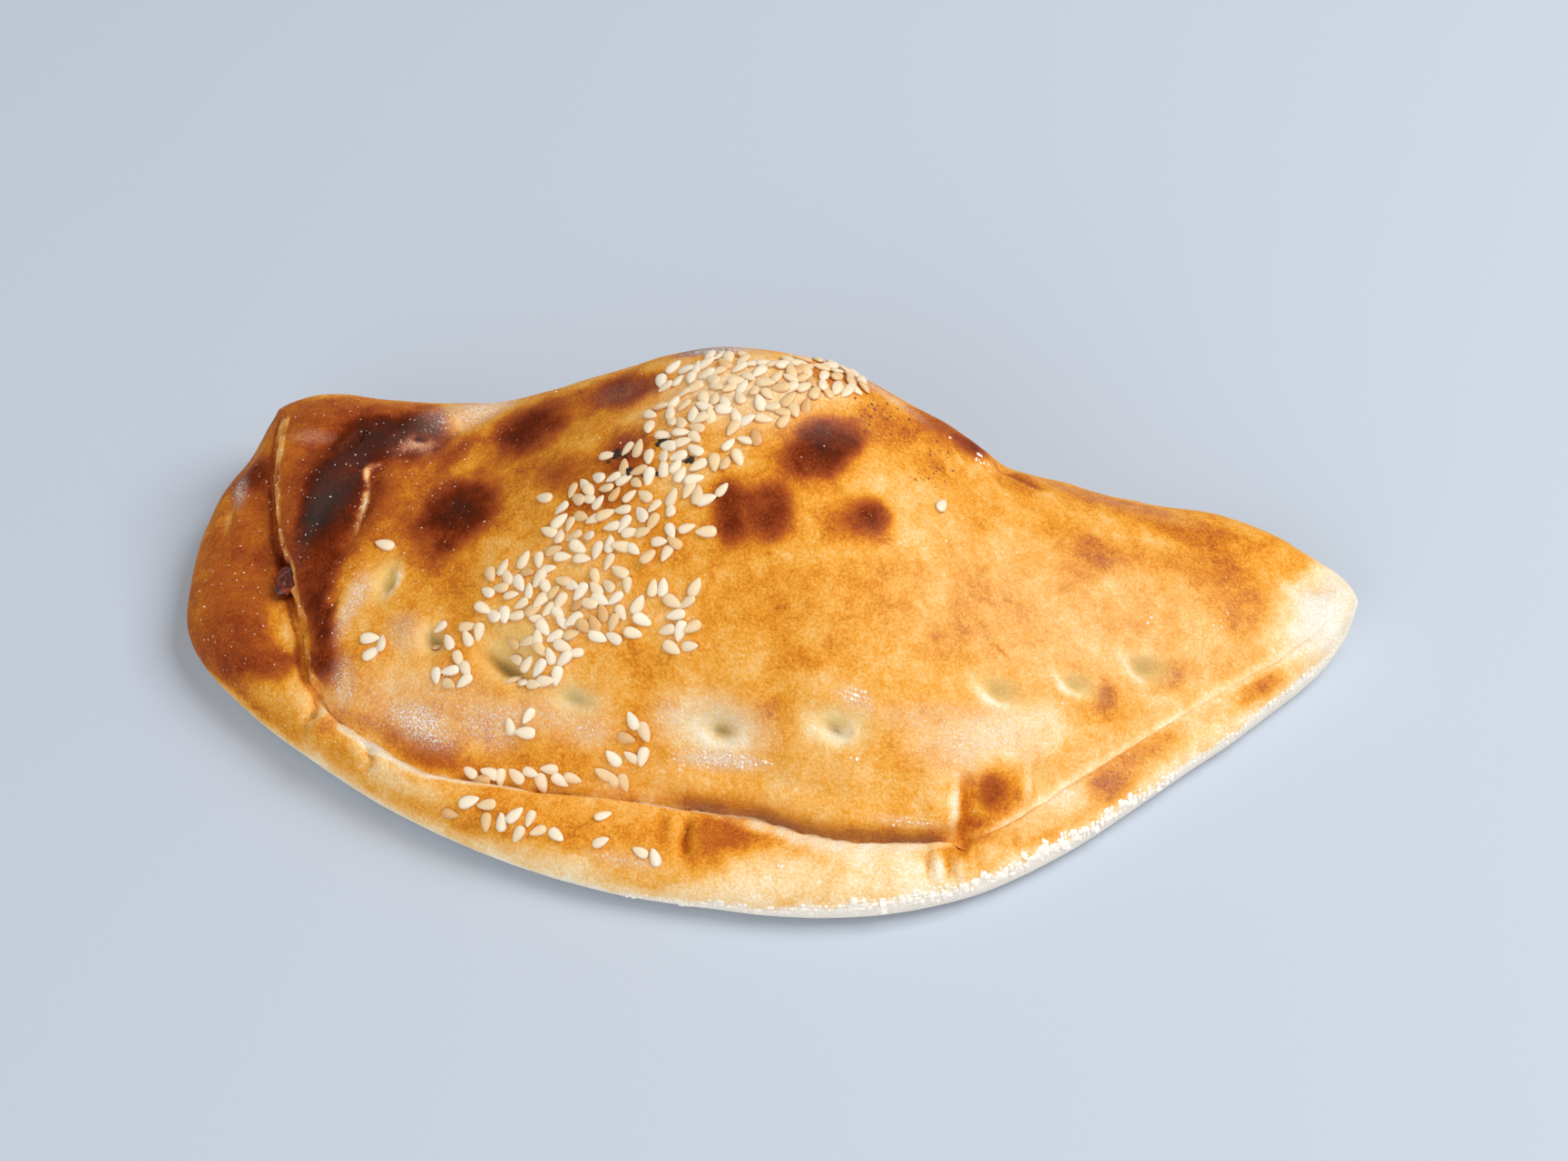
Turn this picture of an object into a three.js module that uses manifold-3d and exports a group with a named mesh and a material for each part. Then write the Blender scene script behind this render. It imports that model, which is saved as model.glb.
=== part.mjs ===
// Baked samosa: a half moon of bread dough folded over a filling, its front edge sealed into a rolled rim,
// its top strewn with sesame seeds. Millimetres: X runs along the fold, Y towards the fold, Z up.
import * as THREE from "three";
import { mergeVertices } from "three/addons/utils/BufferGeometryUtils.js";
import Module from "manifold-3d";

const wasm = await Module();
wasm.setup();

// The sealed front, from the right tip round to the back left corner. Each row is a station: the outer edge
// of the rim, the seam where the top sheet meets the rim, and the share of the length from the tip.
const STATIONS = [
  // edge x, edge y, seam x, seam y, share
  [92.4, 38.0, 89.5, 36.5, 0.0],
  [90.9, 30.0, 88.0, 30.0, 0.02],
  [87.0, 20.8, 84.5, 22.0, 0.05],
  [78.8, 8.8, 76.5, 13.8, 0.1],
  [67.9, -5.4, 66.0, 2.0, 0.17],
  [54.9, -21.9, 53.5, -12.8, 0.25],
  [40.3, -34.6, 42.0, -26.0, 0.33],
  [22.2, -41.9, 25.0, -31.2, 0.42],
  [4.0, -44.1, 7.0, -30.0, 0.52],
  [-14.0, -43.8, -12.0, -31.2, 0.61],
  [-32.0, -40.4, -29.8, -32.4, 0.7],
  [-49.0, -34.9, -45.0, -32.0, 0.78],
  [-64.0, -27.4, -57.0, -26.5, 0.845],
  [-77.6, -18.8, -64.3, -18.9, 0.89],
  [-89.0, -7.9, -69.8, -8.5, 0.92],
  [-92.9, 7.0, -74.5, 1.0, 0.945],
  [-93.0, 19.5, -79.8, 11.8, 0.965],
  [-90.2, 28.6, -83.0, 21.0, 0.985],
  [-87.4, 36.6, -84.2, 30.0, 1.0],
];
// The section along the front, in equal steps of the way from the tip to the back left corner.
const FRONT = [
  // rim height, edge height, undercut, groove depth, lip of the top sheet, share of rim in the section
  [7.5, 4.5, 3, 0.0, 0.0, 0.5],
  [8.0, 4.0, 3, 0.6, 0.0, 1.0],
  [8.0, 3.5, 4, 1.6, 0.0, 1.0],
  [9.0, 3.5, 4, 2.6, 0.0, 1.0],
  [10.0, 3.5, 4, 2.6, 0.0, 1.0],
  [10.0, 3.8, 4, 1.6, 0.6, 1.0],
  [11.0, 4.5, 4, 0.6, 2.0, 1.0],
  [13.0, 6.0, 4, 0.4, 3.4, 1.0],
  [16.0, 11.0, 5, 0.0, 2.0, 0.5],
];
// The folded back edge and the spine, the line of the crown, in equal steps of the length from the tip.
const LENGTH = [
  // fold edge y, its height, its undercut, spine y, spine z
  [43.8, 4.5, 3, 35.0, 8.0],
  [45.5, 7.2, 4, 31.0, 16.8],
  [44.7, 8.7, 6, 28.0, 21.7],
  [43.1, 9.5, 6, 26.5, 26.8],
  [43.8, 13.6, 8, 26.0, 38.4],
  [45.1, 16.6, 10, 27.0, 45.9],
  [44.8, 17.0, 10, 27.5, 45.0],
  [43.2, 14.0, 9, 26.5, 36.6],
  [41.6, 11.5, 8, 25.0, 27.2],
  [41.4, 10.6, 6, 25.0, 23.2],
  [41.8, 11.5, 6, 27.0, 21.8],
];
const SPINE_ENDS = [86.0, -75.0];
const FOLD_ENDS = [92.4, -87.4];
const TIP_ROUNDING = { inset: 5.8, share: 0.018 };
const LEFT_ROUNDING = { inset: 5.2, share: 0.02 };
const FOLD_ROLL = 6.0; // width of the band along the fold that stands for the rim behind
const END_BLEND = 0.06; // share of the length over which the section of the rim turns into that of the fold
const ROLL_SHARE = 0.7; // share of the rim's width that its rounded edge takes up
const GROOVE_START = 0.86; // share of the rim's width where the groove beside the seam begins
const LIP_RUN = 0.5; // distance behind the seam over which the lip of the top sheet rises
const CROWN_POWER = 0.85; // under 1 makes the foot of the top sheet steeper
const FOLD_POWER = 2.2; // roundness of the fold's own section

// Soft bumps, ridges and creases of the dough, each an oval.
const RELIEF = [
  // x, y, height, half length, half width, turn in degrees
  [-49.4, -13.2, 1.3, 3.2, 3.0, 0],
  [38.6, -22.5, -1.2, 4.5, 1.8, 80],
  [49.6, -15.5, -0.9, 3.6, 1.6, 70],
  [26.5, 35.0, 1.6, 7.0, 5.0, 0],
  [35.5, 36.0, -2.0, 3.0, 4.0, 0],
  [-71.5, 14.0, 1.3, 10.0, 2.6, 84],
  [-65.0, 11.5, -1.5, 9.0, 2.2, 88],
  [-53.0, 29.0, -1.3, 7.0, 2.4, 38],
  [-80.0, 35.0, 1.6, 6.0, 4.0, 0],
  [-74.5, 24.0, -1.2, 4.5, 2.0, 40],
];
// Finger dimples pressed into the top sheet.
const DIMPLES = [
  // x, y, depth, half length, half width, turn in degrees
  [-57.5, -3.2, 1.8, 4.6, 2.6, 60],
  [-45.6, -13.0, 2.0, 2.6, 2.2, 0],
  [-33.7, -18.0, 3.0, 5.0, 3.2, -35],
  [-20.7, -21.5, 1.4, 5.0, 3.0, -10],
  [1.3, -22.4, 2.0, 4.2, 3.2, 10],
  [17.6, -20.3, 2.2, 4.5, 3.0, 20],
  [41.7, -7.4, 1.9, 4.2, 2.6, 20],
  [51.8, 0.1, 1.5, 4.2, 2.0, 35],
  [62.1, 7.9, 1.7, 4.4, 2.6, 30],
];
const DISH = 0.6; // height of the middle of a dimple's ball over the face, as a share of its radius

// Groups of sesame seeds on the top sheet and on the rim, each an oval area with its number of seeds.
const SEED_GROUPS = [
  // x, y, half length, half width, turn in degrees, seeds
  [4.7, 29.2, 8.5, 4.9, 20, 16],
  [-9.9, 27.5, 9.9, 4.2, -3, 14],
  [-5.6, 20.3, 12.5, 3.6, 1, 13],
  [-13.9, 18.3, 5.7, 5.5, 21, 7],
  [-7.9, 12.8, 8.3, 3.8, -3, 8],
  [-17.1, 10.9, 8.9, 3.9, -9, 9],
  [-23.3, 7.6, 6.2, 4.2, -8, 9],
  [-12.3, 5.7, 8.7, 2.8, -5, 6],
  [-13.2, 1.1, 9.2, 2.9, -5, 9],
  [-26.5, 2.6, 6.5, 3.4, -9, 8],
  [-18.3, -3.0, 10.0, 2.8, -7, 9],
  [-26.5, -5.6, 9.0, 3.2, -8, 10],
  [-16.8, -9.6, 8.3, 3.3, -3, 9],
  [-27.6, -10.0, 7.7, 3.0, -6, 9],
  [-20.4, -13.3, 9.4, 2.1, -1, 8],
  [-27.4, -15.9, 6.3, 2.3, -2, 8],
  [-27.8, -19.1, 4.0, 2.4, -5, 6],
  [-8.1, -11.0, 5.2, 4.5, -29, 7],
  [-44.3, -13.6, 2.0, 1.2, -63, 3],
  [-39.2, -13.2, 2.4, 1.7, -36, 3],
  [-41.4, -19.2, 3.0, 1.9, -11, 5],
  [-34.9, -8.2, 5.9, 4.3, -37, 9],
  [-55.1, -14.9, 1.6, 1.4, -48, 4],
  [-58.6, 2.7, 0.6, 0.4, 0, 1],
  [-33.5, 7.6, 0.7, 0.4, 0, 1],
  [-29.3, -25.8, 2.2, 1.4, 0, 3],
  [-12.8, -26.6, 3.8, 2.6, 49, 8],
  [-28.7, -30.9, 8.7, 0.9, 6, 8],
  [-29.5, -38.6, 9.7, 1.3, -8, 8],
  [-13.6, -35.7, 0.5, 0.4, 0, 1],
  [-13.7, -39.9, 0.4, 0.4, 0, 1],
  [-5.8, -40.4, 1.9, 0.6, -13, 2],
  [27.4, 16.1, 0.6, 0.3, 0, 1],
];
const SEED = { length: 3.1, width: 1.9, height: 0.75, embed: 0.45, top: 0.62, point: 0.22, sides: 5 };
const SEED_SIZES = { least: 0.88, spread: 0.24 }; // shares of a seed's size
const SEED_LEAN = 0.3; // most that a seed leans to both sides together, in radians
const SEED_SPACING = 1.75;
const SEED_TRIES = 60;
const SEED_START = 20417; // where the run of random numbers starts

// The pocket of filling inside, and the nub of it that shows under the edge of the top sheet at the left.
const DOUGH = 6.0;
const STEEPEST = 0.45; // least upright part of the dough's thickness on a steep side
// A margin round the pocket counts for more on top, where the sides are steep.
const POCKET = { x: -6, y: 6, along: 57, across: 25, power: 2.4, floor: 5, side: 1, raise: 1.5 };
const POCKET_RINGS = [1, 0.93, 0.78, 0.55, 0.28];
const POCKET_SIDES = 24;
const NECK = { start: [-56, 1, 9.5], radius: 2.6, end: 1.5, sides: 10 };
const NUB = [-74.2, -1.3, 13.0];
const NUB_LUMPS = [
  // offset along x, y, z and radius
  [0.0, 0.0, 0.0, 1.35],
  [-0.3, 1.3, 0.5, 1.05],
  [-0.2, -1.2, -0.3, 1.1],
  [-0.6, 0.3, -0.8, 0.9],
];
const INSCRIBED = 0.795; // inner radius of a plain twenty-sided lump, as a share of its outer radius
const GAP = 0.35; // clear space between the filling and the dough

// How finely the dough is divided: stations round the outline, and rings from the floor up to the crown.
const ROUND = 84;
const UNDER_RINGS = [0, 0.4, 0.75];
const RIM_RINGS = [0, 0.12, 0.32, 0.66, 0.88, 1];
const DOME_RINGS = [0.014, 0.07, 0.16, 0.28, 0.44, 0.62, 0.82];
const FLOOR_LINE = { squeeze: 0.9, shift: -14 }; // the line under the spine where the base closes
const COLOURS = { crust: "#cf8d45", filling: "#5c1f14" };

// A smooth curve through rows of numbers, at a fraction of the way along.
function through(rows, fraction) {
  const last = rows.length - 1;
  const place = THREE.MathUtils.clamp(fraction, 0, 1) * last;
  const i = Math.min(Math.floor(place), last - 1);
  const u = place - i;
  const value = (k, column) => {
    if (k < 0) return 2 * rows[0][column] - rows[1][column];
    if (k > last) return 2 * rows[last][column] - rows[last - 1][column];
    return rows[k][column];
  };
  return rows[0].map((_, column) => {
    const [a, b, c, d] = [-1, 0, 1, 2].map((step) => value(i + step, column));
    const square = 2 * a - 5 * b + 4 * c - d;
    const cube = 3 * b - a - 3 * c + d;
    return 0.5 * (2 * b + (c - a) * u + square * u * u + cube * u * u * u);
  });
}

// Fractions that are evenly spaced along the curve through the first two columns of the rows.
function evenly(rows, count) {
  const fine = 800;
  const lengths = [0];
  let before = through(rows, 0);
  for (let i = 1; i <= fine; i++) {
    const here = through(rows, i / fine);
    lengths.push(lengths[i - 1] + Math.hypot(here[0] - before[0], here[1] - before[1]));
    before = here;
  }
  const found = [];
  let i = 1;
  for (let k = 0; k <= count; k++) {
    const target = (lengths[fine] * k) / count;
    while (i < fine && lengths[i] < target) i++;
    const share = (target - lengths[i - 1]) / (lengths[i] - lengths[i - 1]);
    found.push((i - 1 + share) / fine);
  }
  return found;
}

const mix = (a, b, share) => a + (b - a) * share;
const mixPoint = (a, b, share) => [mix(a[0], b[0], share), mix(a[1], b[1], share)];
const distance = (a, b) => Math.hypot(b[0] - a[0], b[1] - a[1]);

// How far the dough is pressed in or raised at a place.
function relief(x, y) {
  let sum = 0;
  for (const [cx, cy, height, along, across, turn] of RELIEF) {
    const angle = THREE.MathUtils.degToRad(turn);
    const u = (x - cx) * Math.cos(angle) + (y - cy) * Math.sin(angle);
    const v = (y - cy) * Math.cos(angle) - (x - cx) * Math.sin(angle);
    sum += height * Math.exp(-((u / along) ** 2) - (v / across) ** 2);
  }
  return sum;
}

// The stations all round the outline: the front from the tip to the back left corner, then the fold back to
// the tip. A station of the front and its partner on the fold share one point of the spine.
function stationsRound(count) {
  const half = count / 2;
  const pairs = evenly(STATIONS, half).map((fraction) => {
    const [edgeX, edgeY, seamX, seamY, part] = through(STATIONS, fraction);
    const share = THREE.MathUtils.clamp(part, 0, 1);
    const [foldY, foldHeight, foldUndercut, spineY, spineZ] = through(LENGTH, share);
    const atTip = TIP_ROUNDING.inset * Math.exp(-share / TIP_ROUNDING.share);
    const atLeft = LEFT_ROUNDING.inset * Math.exp((share - 1) / LEFT_ROUNDING.share);
    const [height, edgeHeight, undercut, groove, lip, rimShare] = through(FRONT, fraction);
    return {
      share,
      spine: [mix(...SPINE_ENDS, share), spineY, spineZ],
      front: {
        edge: [edgeX, edgeY],
        seam: [seamX, seamY],
        height,
        edgeHeight,
        undercut,
        groove,
        lip,
        rimShare,
      },
      fold: {
        edge: [mix(...FOLD_ENDS, share), foldY - atTip - atLeft],
        edgeHeight: foldHeight,
        undercut: foldUndercut,
      },
    };
  });
  const ends = [pairs[0].front, pairs[half].front];
  const stations = [];
  for (let i = 0; i < count; i++) {
    const pair = pairs[Math.min(i, count - i)];
    const inFront = i < half;
    const side = inFront ? pair.front : pair.fold;
    const reach = distance(side.edge, pair.spine);
    const inward = [(pair.spine[0] - side.edge[0]) / reach, (pair.spine[1] - side.edge[1]) / reach];
    const station = { ...side, inward, spine: pair.spine };
    if (!inFront) {
      const end = ends[pair.share < 0.5 ? 0 : 1];
      const away = Math.min(pair.share, 1 - pair.share) / END_BLEND;
      const behind = THREE.MathUtils.smoothstep(away, 0, 1);
      const rolled = [0, 1].map((k) => side.edge[k] + inward[k] * FOLD_ROLL);
      const started = [0, 1].map((k) => side.edge[k] + end.seam[k] - end.edge[k]);
      station.seam = mixPoint(started, rolled, behind);
      station.rimShare = end.rimShare * (1 - behind);
      station.height = end.height;
      station.groove = 0;
      station.lip = end.lip;
    }
    station.rimWidth = distance(station.edge, station.seam);
    station.sheetWidth = distance(station.seam, station.spine);
    stations.push(station);
  }
  return { stations, spine: pairs.map((pair) => pair.spine) };
}

// A point of the underside, at a share of the quarter turn from the floor up to the outline.
function underPoint(station, share) {
  const angle = (share * Math.PI) / 2;
  const inset = station.undercut * (1 - Math.sin(angle));
  const [x, y] = station.edge.map((value, k) => value + station.inward[k] * inset);
  return [x, y, station.edgeHeight * (1 - Math.cos(angle))];
}

// A point of the top, at a distance from the outline: over the rim, across the seam and up the sheet.
function topPoint(station, from) {
  const { rimWidth, sheetWidth, edgeHeight, height, groove, lip, rimShare, spine } = station;
  const onRim = Math.min(from / rimWidth, 1);
  const onSheet = THREE.MathUtils.clamp((from - rimWidth) / sheetWidth, 0, 1);
  const [x, y] =
    onSheet > 0 ? mixPoint(station.seam, spine, onSheet) : mixPoint(station.edge, station.seam, onRim);
  const roll = Math.min(onRim / ROLL_SHARE, 1);
  const fall = Math.max((onRim - GROOVE_START) / (1 - GROOVE_START), 0);
  let front = mix(edgeHeight, height, Math.sqrt(1 - (1 - roll) ** 2)) - groove * fall ** 2;
  if (onSheet > 0) {
    const foot = height - groove + lip * (1 - Math.exp(-(from - rimWidth) / LIP_RUN));
    front = mix(foot, spine[2], (1 - (1 - onSheet) ** 2) ** CROWN_POWER);
  }
  const onFold = Math.min(from / (rimWidth + sheetWidth), 1);
  const fold = mix(edgeHeight, spine[2], Math.sqrt(1 - (1 - onFold) ** FOLD_POWER));
  return [x, y, mix(fold, front, rimShare) + relief(x, y) * roll];
}

// The dough as one closed surface, without its seeds.
function doughGeometry(count) {
  const { stations, spine } = stationsRound(count);
  const rings = [
    ...UNDER_RINGS.map((share) => stations.map((s) => underPoint(s, share))),
    ...RIM_RINGS.map((share) => stations.map((s) => topPoint(s, share * s.rimWidth))),
    ...DOME_RINGS.map((share) => stations.map((s) => topPoint(s, s.rimWidth + share * s.sheetWidth))),
  ];
  const crown = spine.map(([x, y, z]) => [x, y, z + relief(x, y)]);
  const floor = spine.map(([x, y]) => [x * FLOOR_LINE.squeeze, y + FLOOR_LINE.shift, 0]);
  const points = [...rings.flat(), ...crown, ...floor];
  const top = rings.length - 1;
  const crownStart = rings.length * count;
  const floorStart = crownStart + crown.length;
  const onRing = (ring, i) => ring * count + (i % count);
  const partner = (i) => Math.min(i % count, count - (i % count));
  const index = [];
  for (let i = 0; i < count; i++) {
    for (let ring = 0; ring < top; ring++) {
      index.push(onRing(ring, i), onRing(ring + 1, i), onRing(ring + 1, i + 1));
      index.push(onRing(ring, i), onRing(ring + 1, i + 1), onRing(ring, i + 1));
    }
    const [a, b] = [partner(i), partner(i + 1)];
    index.push(onRing(top, i), crownStart + a, crownStart + b);
    index.push(onRing(top, i), crownStart + b, onRing(top, i + 1));
    index.push(onRing(0, i), floorStart + b, floorStart + a);
    index.push(onRing(0, i), onRing(0, i + 1), floorStart + b);
  }
  const geometry = new THREE.BufferGeometry();
  geometry.setAttribute("position", new THREE.Float32BufferAttribute(points.flat(), 3));
  return geometry.setIndex(index);
}

// The height and the facing of the top of a surface at a place, seen from above.
function topOf(geometry) {
  const positions = geometry.getAttribute("position");
  const index = geometry.index.array;
  const corner = (k) => new THREE.Vector3().fromBufferAttribute(positions, index[k]);
  const faces = [];
  for (let k = 0; k < index.length; k += 3) {
    const face = new THREE.Triangle(corner(k), corner(k + 1), corner(k + 2));
    const normal = face.getNormal(new THREE.Vector3());
    if (normal.z > 0.01) faces.push({ face, normal });
  }
  return (x, y) => {
    let best = null;
    for (const { face, normal } of faces) {
      const { a, b, c } = face;
      const area = (b.x - a.x) * (c.y - a.y) - (c.x - a.x) * (b.y - a.y);
      const u = ((x - a.x) * (c.y - a.y) - (c.x - a.x) * (y - a.y)) / area;
      const v = ((b.x - a.x) * (y - a.y) - (x - a.x) * (b.y - a.y)) / area;
      if (u < 0 || v < 0 || u + v > 1) continue;
      const z = a.z + u * (b.z - a.z) + v * (c.z - a.z);
      if (!best || z > best.z) best = { z, normal };
    }
    return best;
  };
}

// A round lump as a closed geometry with shared corners.
function lumpGeometry(radius, detail) {
  const ball = new THREE.IcosahedronGeometry(radius, detail);
  const bare = new THREE.BufferGeometry();
  bare.setAttribute("position", ball.getAttribute("position"));
  return mergeVertices(bare);
}

// The ball that presses one dimple into the dough, lying over the face it dents.
function dimpleGeometry([x, y, depth, along, across, turn], { z, normal }) {
  const geometry = lumpGeometry(1, 1);
  const radius = depth / (1 - DISH);
  const spread = Math.sqrt(1 - DISH ** 2);
  geometry.scale(along / spread, across / spread, radius);
  geometry.rotateZ(THREE.MathUtils.degToRad(turn));
  geometry.translate(0, 0, radius * DISH);
  geometry.applyQuaternion(new THREE.Quaternion().setFromUnitVectors(new THREE.Vector3(0, 0, 1), normal));
  return geometry.translate(x, y, z);
}

// A solid for the boolean work from a closed geometry.
function solidOf(geometry) {
  const plain = new THREE.BufferGeometry();
  plain.setAttribute("position", geometry.getAttribute("position"));
  plain.setIndex(geometry.index);
  const merged = mergeVertices(plain, 1e-4);
  return new wasm.Manifold(
    new wasm.Mesh({
      numProp: 3,
      vertProperties: merged.getAttribute("position").array,
      triVerts: new Uint32Array(merged.index.array),
    }),
  );
}

// The largest body of a solid, without scrap or sealed hollows.
function largest(solid) {
  return solid.decompose().reduce((a, b) => (b.volume() > a.volume() ? b : a));
}

// A geometry from a solid.
function geometryOf(solid) {
  const { vertProperties, triVerts } = solid.getMesh();
  const geometry = new THREE.BufferGeometry();
  geometry.setAttribute("position", new THREE.BufferAttribute(new Float32Array(vertProperties), 3));
  geometry.setIndex(new THREE.BufferAttribute(new Uint32Array(triVerts), 1));
  return geometry;
}

// A run of random numbers from 0 to 1 that is the same every time.
function randomRun(start) {
  let state = start;
  return () => {
    state = (1664525 * state + 1013904223) % 4294967296;
    return state / 4294967296;
  };
}

// Where the seeds lie, seen from above, and how each is turned and leans.
function seedPlaces() {
  const random = randomRun(SEED_START);
  const places = [];
  for (const [cx, cy, along, across, turn, count] of SEED_GROUPS) {
    const angle = THREE.MathUtils.degToRad(turn);
    for (let k = 0; k < count; k++) {
      for (let attempt = 0; attempt < SEED_TRIES; attempt++) {
        const reach = Math.sqrt(random());
        const round = 2 * Math.PI * random();
        const u = along * reach * Math.cos(round);
        const v = across * reach * Math.sin(round);
        const x = cx + u * Math.cos(angle) - v * Math.sin(angle);
        const y = cy + u * Math.sin(angle) + v * Math.cos(angle);
        const near = places.some((other) => Math.hypot(other.x - x, other.y - y) < SEED_SPACING);
        if (near) continue;
        const [spin, size, lean] = [random(), random(), random()];
        places.push({
          x,
          y,
          turn: 2 * Math.PI * spin,
          size: SEED_SIZES.least + SEED_SIZES.spread * size,
          lean: SEED_LEAN * (lean - 0.5),
        });
        break;
      }
    }
  }
  return places;
}

// One sesame seed, drawn to a point at one end, sunk a little into the face it lies on.
function seedGeometry(place, height, normal) {
  const points = [];
  for (const level of ["foot", "head"]) {
    for (let k = 0; k < SEED.sides; k++) {
      const angle = (2 * Math.PI * k) / SEED.sides;
      const taper = 1 - SEED.point * Math.cos(angle);
      const spread = level === "foot" ? 1 : SEED.top;
      const x = 0.5 * SEED.length * Math.cos(angle) * spread;
      const y = 0.5 * SEED.width * Math.sin(angle) * taper * spread;
      points.push(x, y, level === "foot" ? -SEED.embed : SEED.height);
    }
  }
  const index = [];
  for (let k = 0; k < SEED.sides; k++) {
    const next = (k + 1) % SEED.sides;
    index.push(k, next, SEED.sides + next);
    index.push(k, SEED.sides + next, SEED.sides + k);
  }
  for (let k = 1; k < SEED.sides - 1; k++) {
    index.push(0, k + 1, k);
    index.push(SEED.sides, SEED.sides + k, SEED.sides + k + 1);
  }
  const geometry = new THREE.BufferGeometry();
  geometry.setAttribute("position", new THREE.Float32BufferAttribute(points, 3));
  geometry.setIndex(index);
  geometry.scale(place.size, place.size, place.size);
  geometry.rotateY(place.lean);
  geometry.rotateZ(place.turn);
  const upright = new THREE.Quaternion().setFromUnitVectors(new THREE.Vector3(0, 0, 1), normal);
  geometry.applyQuaternion(upright);
  return geometry.translate(place.x, place.y, height);
}

// The pocket of filling, which follows the top of the dough from below at an even thickness. It is grown by
// a margin on every side when it stands for the hollow in the dough.
function pocketGeometry(top, margin) {
  const points = [];
  const add = (reach, k, onFloor) => {
    const angle = (2 * Math.PI * k) / POCKET_SIDES;
    const soften = (value) => Math.sign(value) * Math.abs(value) ** (2 / POCKET.power);
    const across = [reach * soften(Math.cos(angle)), reach * soften(Math.sin(angle))];
    const place = (grow) => [
      POCKET.x + (POCKET.along + grow) * across[0],
      POCKET.y + (POCKET.across + grow) * across[1],
    ];
    if (onFloor) {
      points.push([...place(margin), POCKET.floor - margin]);
      return;
    }
    const above = top(...place(0));
    const thickness = DOUGH / Math.max(above.normal.z, STEEPEST);
    const height = mix(POCKET.floor + POCKET.side, above.z - thickness, Math.sqrt(1 - reach ** 4));
    points.push([...place(margin), height + margin * POCKET.raise]);
  };
  for (let k = 0; k < POCKET_SIDES; k++) add(1, k, true);
  for (const reach of POCKET_RINGS) {
    for (let k = 0; k < POCKET_SIDES; k++) add(reach, k, false);
  }
  const centre = points.length;
  add(0, 0, false);
  add(0, 0, true);
  const index = [];
  for (let k = 0; k < POCKET_SIDES; k++) {
    const next = (k + 1) % POCKET_SIDES;
    for (let ring = 0; ring < POCKET_RINGS.length; ring++) {
      const [low, high] = [ring * POCKET_SIDES, (ring + 1) * POCKET_SIDES];
      index.push(low + k, low + next, high + next);
      index.push(low + k, high + next, high + k);
    }
    const inner = POCKET_RINGS.length * POCKET_SIDES;
    index.push(inner + k, inner + next, centre);
    index.push(next, k, centre + 1);
  }
  const geometry = new THREE.BufferGeometry();
  geometry.setAttribute("position", new THREE.Float32BufferAttribute(points.flat(), 3));
  return geometry.setIndex(index);
}

// The filling with its neck and the nub that shows, grown by a margin on every side.
function fillingSolid(top, margin) {
  const start = new THREE.Vector3(...NECK.start);
  const end = new THREE.Vector3(...NUB);
  const run = end.clone().sub(start);
  const neck = new THREE.CylinderGeometry(NECK.end + margin, NECK.radius + margin, run.length(), NECK.sides);
  const heading = run.clone().normalize();
  neck.applyQuaternion(new THREE.Quaternion().setFromUnitVectors(new THREE.Vector3(0, 1, 0), heading));
  neck.translate(...start.clone().add(end).multiplyScalar(0.5).toArray());
  const lumps = NUB_LUMPS.map(([x, y, z, radius]) => {
    const lump = margin > 0 ? lumpGeometry((radius + margin) / INSCRIBED, 0) : lumpGeometry(radius, 1);
    return lump.translate(NUB[0] + x, NUB[1] + y, NUB[2] + z);
  });
  const pieces = [pocketGeometry(top, margin), neck, ...lumps];
  return wasm.Manifold.union(pieces.map(solidOf));
}

// The samosa: dough with its seeds fused on and its hollow taken out, and the filling in that hollow.
const plainDough = doughGeometry(ROUND);
const plainTop = topOf(plainDough);
const dimples = DIMPLES.map((dimple) => solidOf(dimpleGeometry(dimple, plainTop(dimple[0], dimple[1]))));
const dough = solidOf(plainDough).subtract(wasm.Manifold.union(dimples));
const top = topOf(geometryOf(dough));
const seeds = seedPlaces().map((place) => {
  const { z, normal } = top(place.x, place.y);
  return solidOf(seedGeometry(place, z, normal));
});
const strewn = largest(wasm.Manifold.union([dough, ...seeds]));
const pastryGeometry = geometryOf(largest(strewn.subtract(fillingSolid(top, GAP))));
const fillingGeometry = geometryOf(largest(fillingSolid(top, 0)));

// The origin is the centre of the base.
const box = new THREE.Box3().setFromBufferAttribute(pastryGeometry.getAttribute("position"));
const middle = box.getCenter(new THREE.Vector3());
for (const geometry of [pastryGeometry, fillingGeometry]) {
  geometry.translate(-middle.x, -middle.y, -box.min.z);
  geometry.computeVertexNormals();
}

const crust = new THREE.MeshStandardMaterial({ color: COLOURS.crust, roughness: 0.6, metalness: 0 });
const meat = new THREE.MeshStandardMaterial({ color: COLOURS.filling, roughness: 0.35, metalness: 0 });
const pastry = new THREE.Mesh(pastryGeometry, crust);
pastry.name = "pastry";
const filling = new THREE.Mesh(fillingGeometry, meat);
filling.name = "filling";
const samosa = new THREE.Group();
samosa.name = "samosa";
samosa.add(pastry, filling);

export default samosa;
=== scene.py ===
# %% [markdown]
# # A baked samosa
# The object is a large oven-baked samosa: a half moon of bread dough folded over a meat filling, its front
# edge sealed into a rolled rim, its top blistered by the oven and strewn with sesame seeds.
# The packed model gives its true size and place. This lesson makes what the eye sees on top of that: the same
# dough at a much finer grain, its browning and flour, the seeds, and the bit of filling at the left end.

# %% Load the packed model
import itertools
import math

import bmesh
import bpy
import numpy as np
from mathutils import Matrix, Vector
from mathutils.bvhtree import BVHTree


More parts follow.
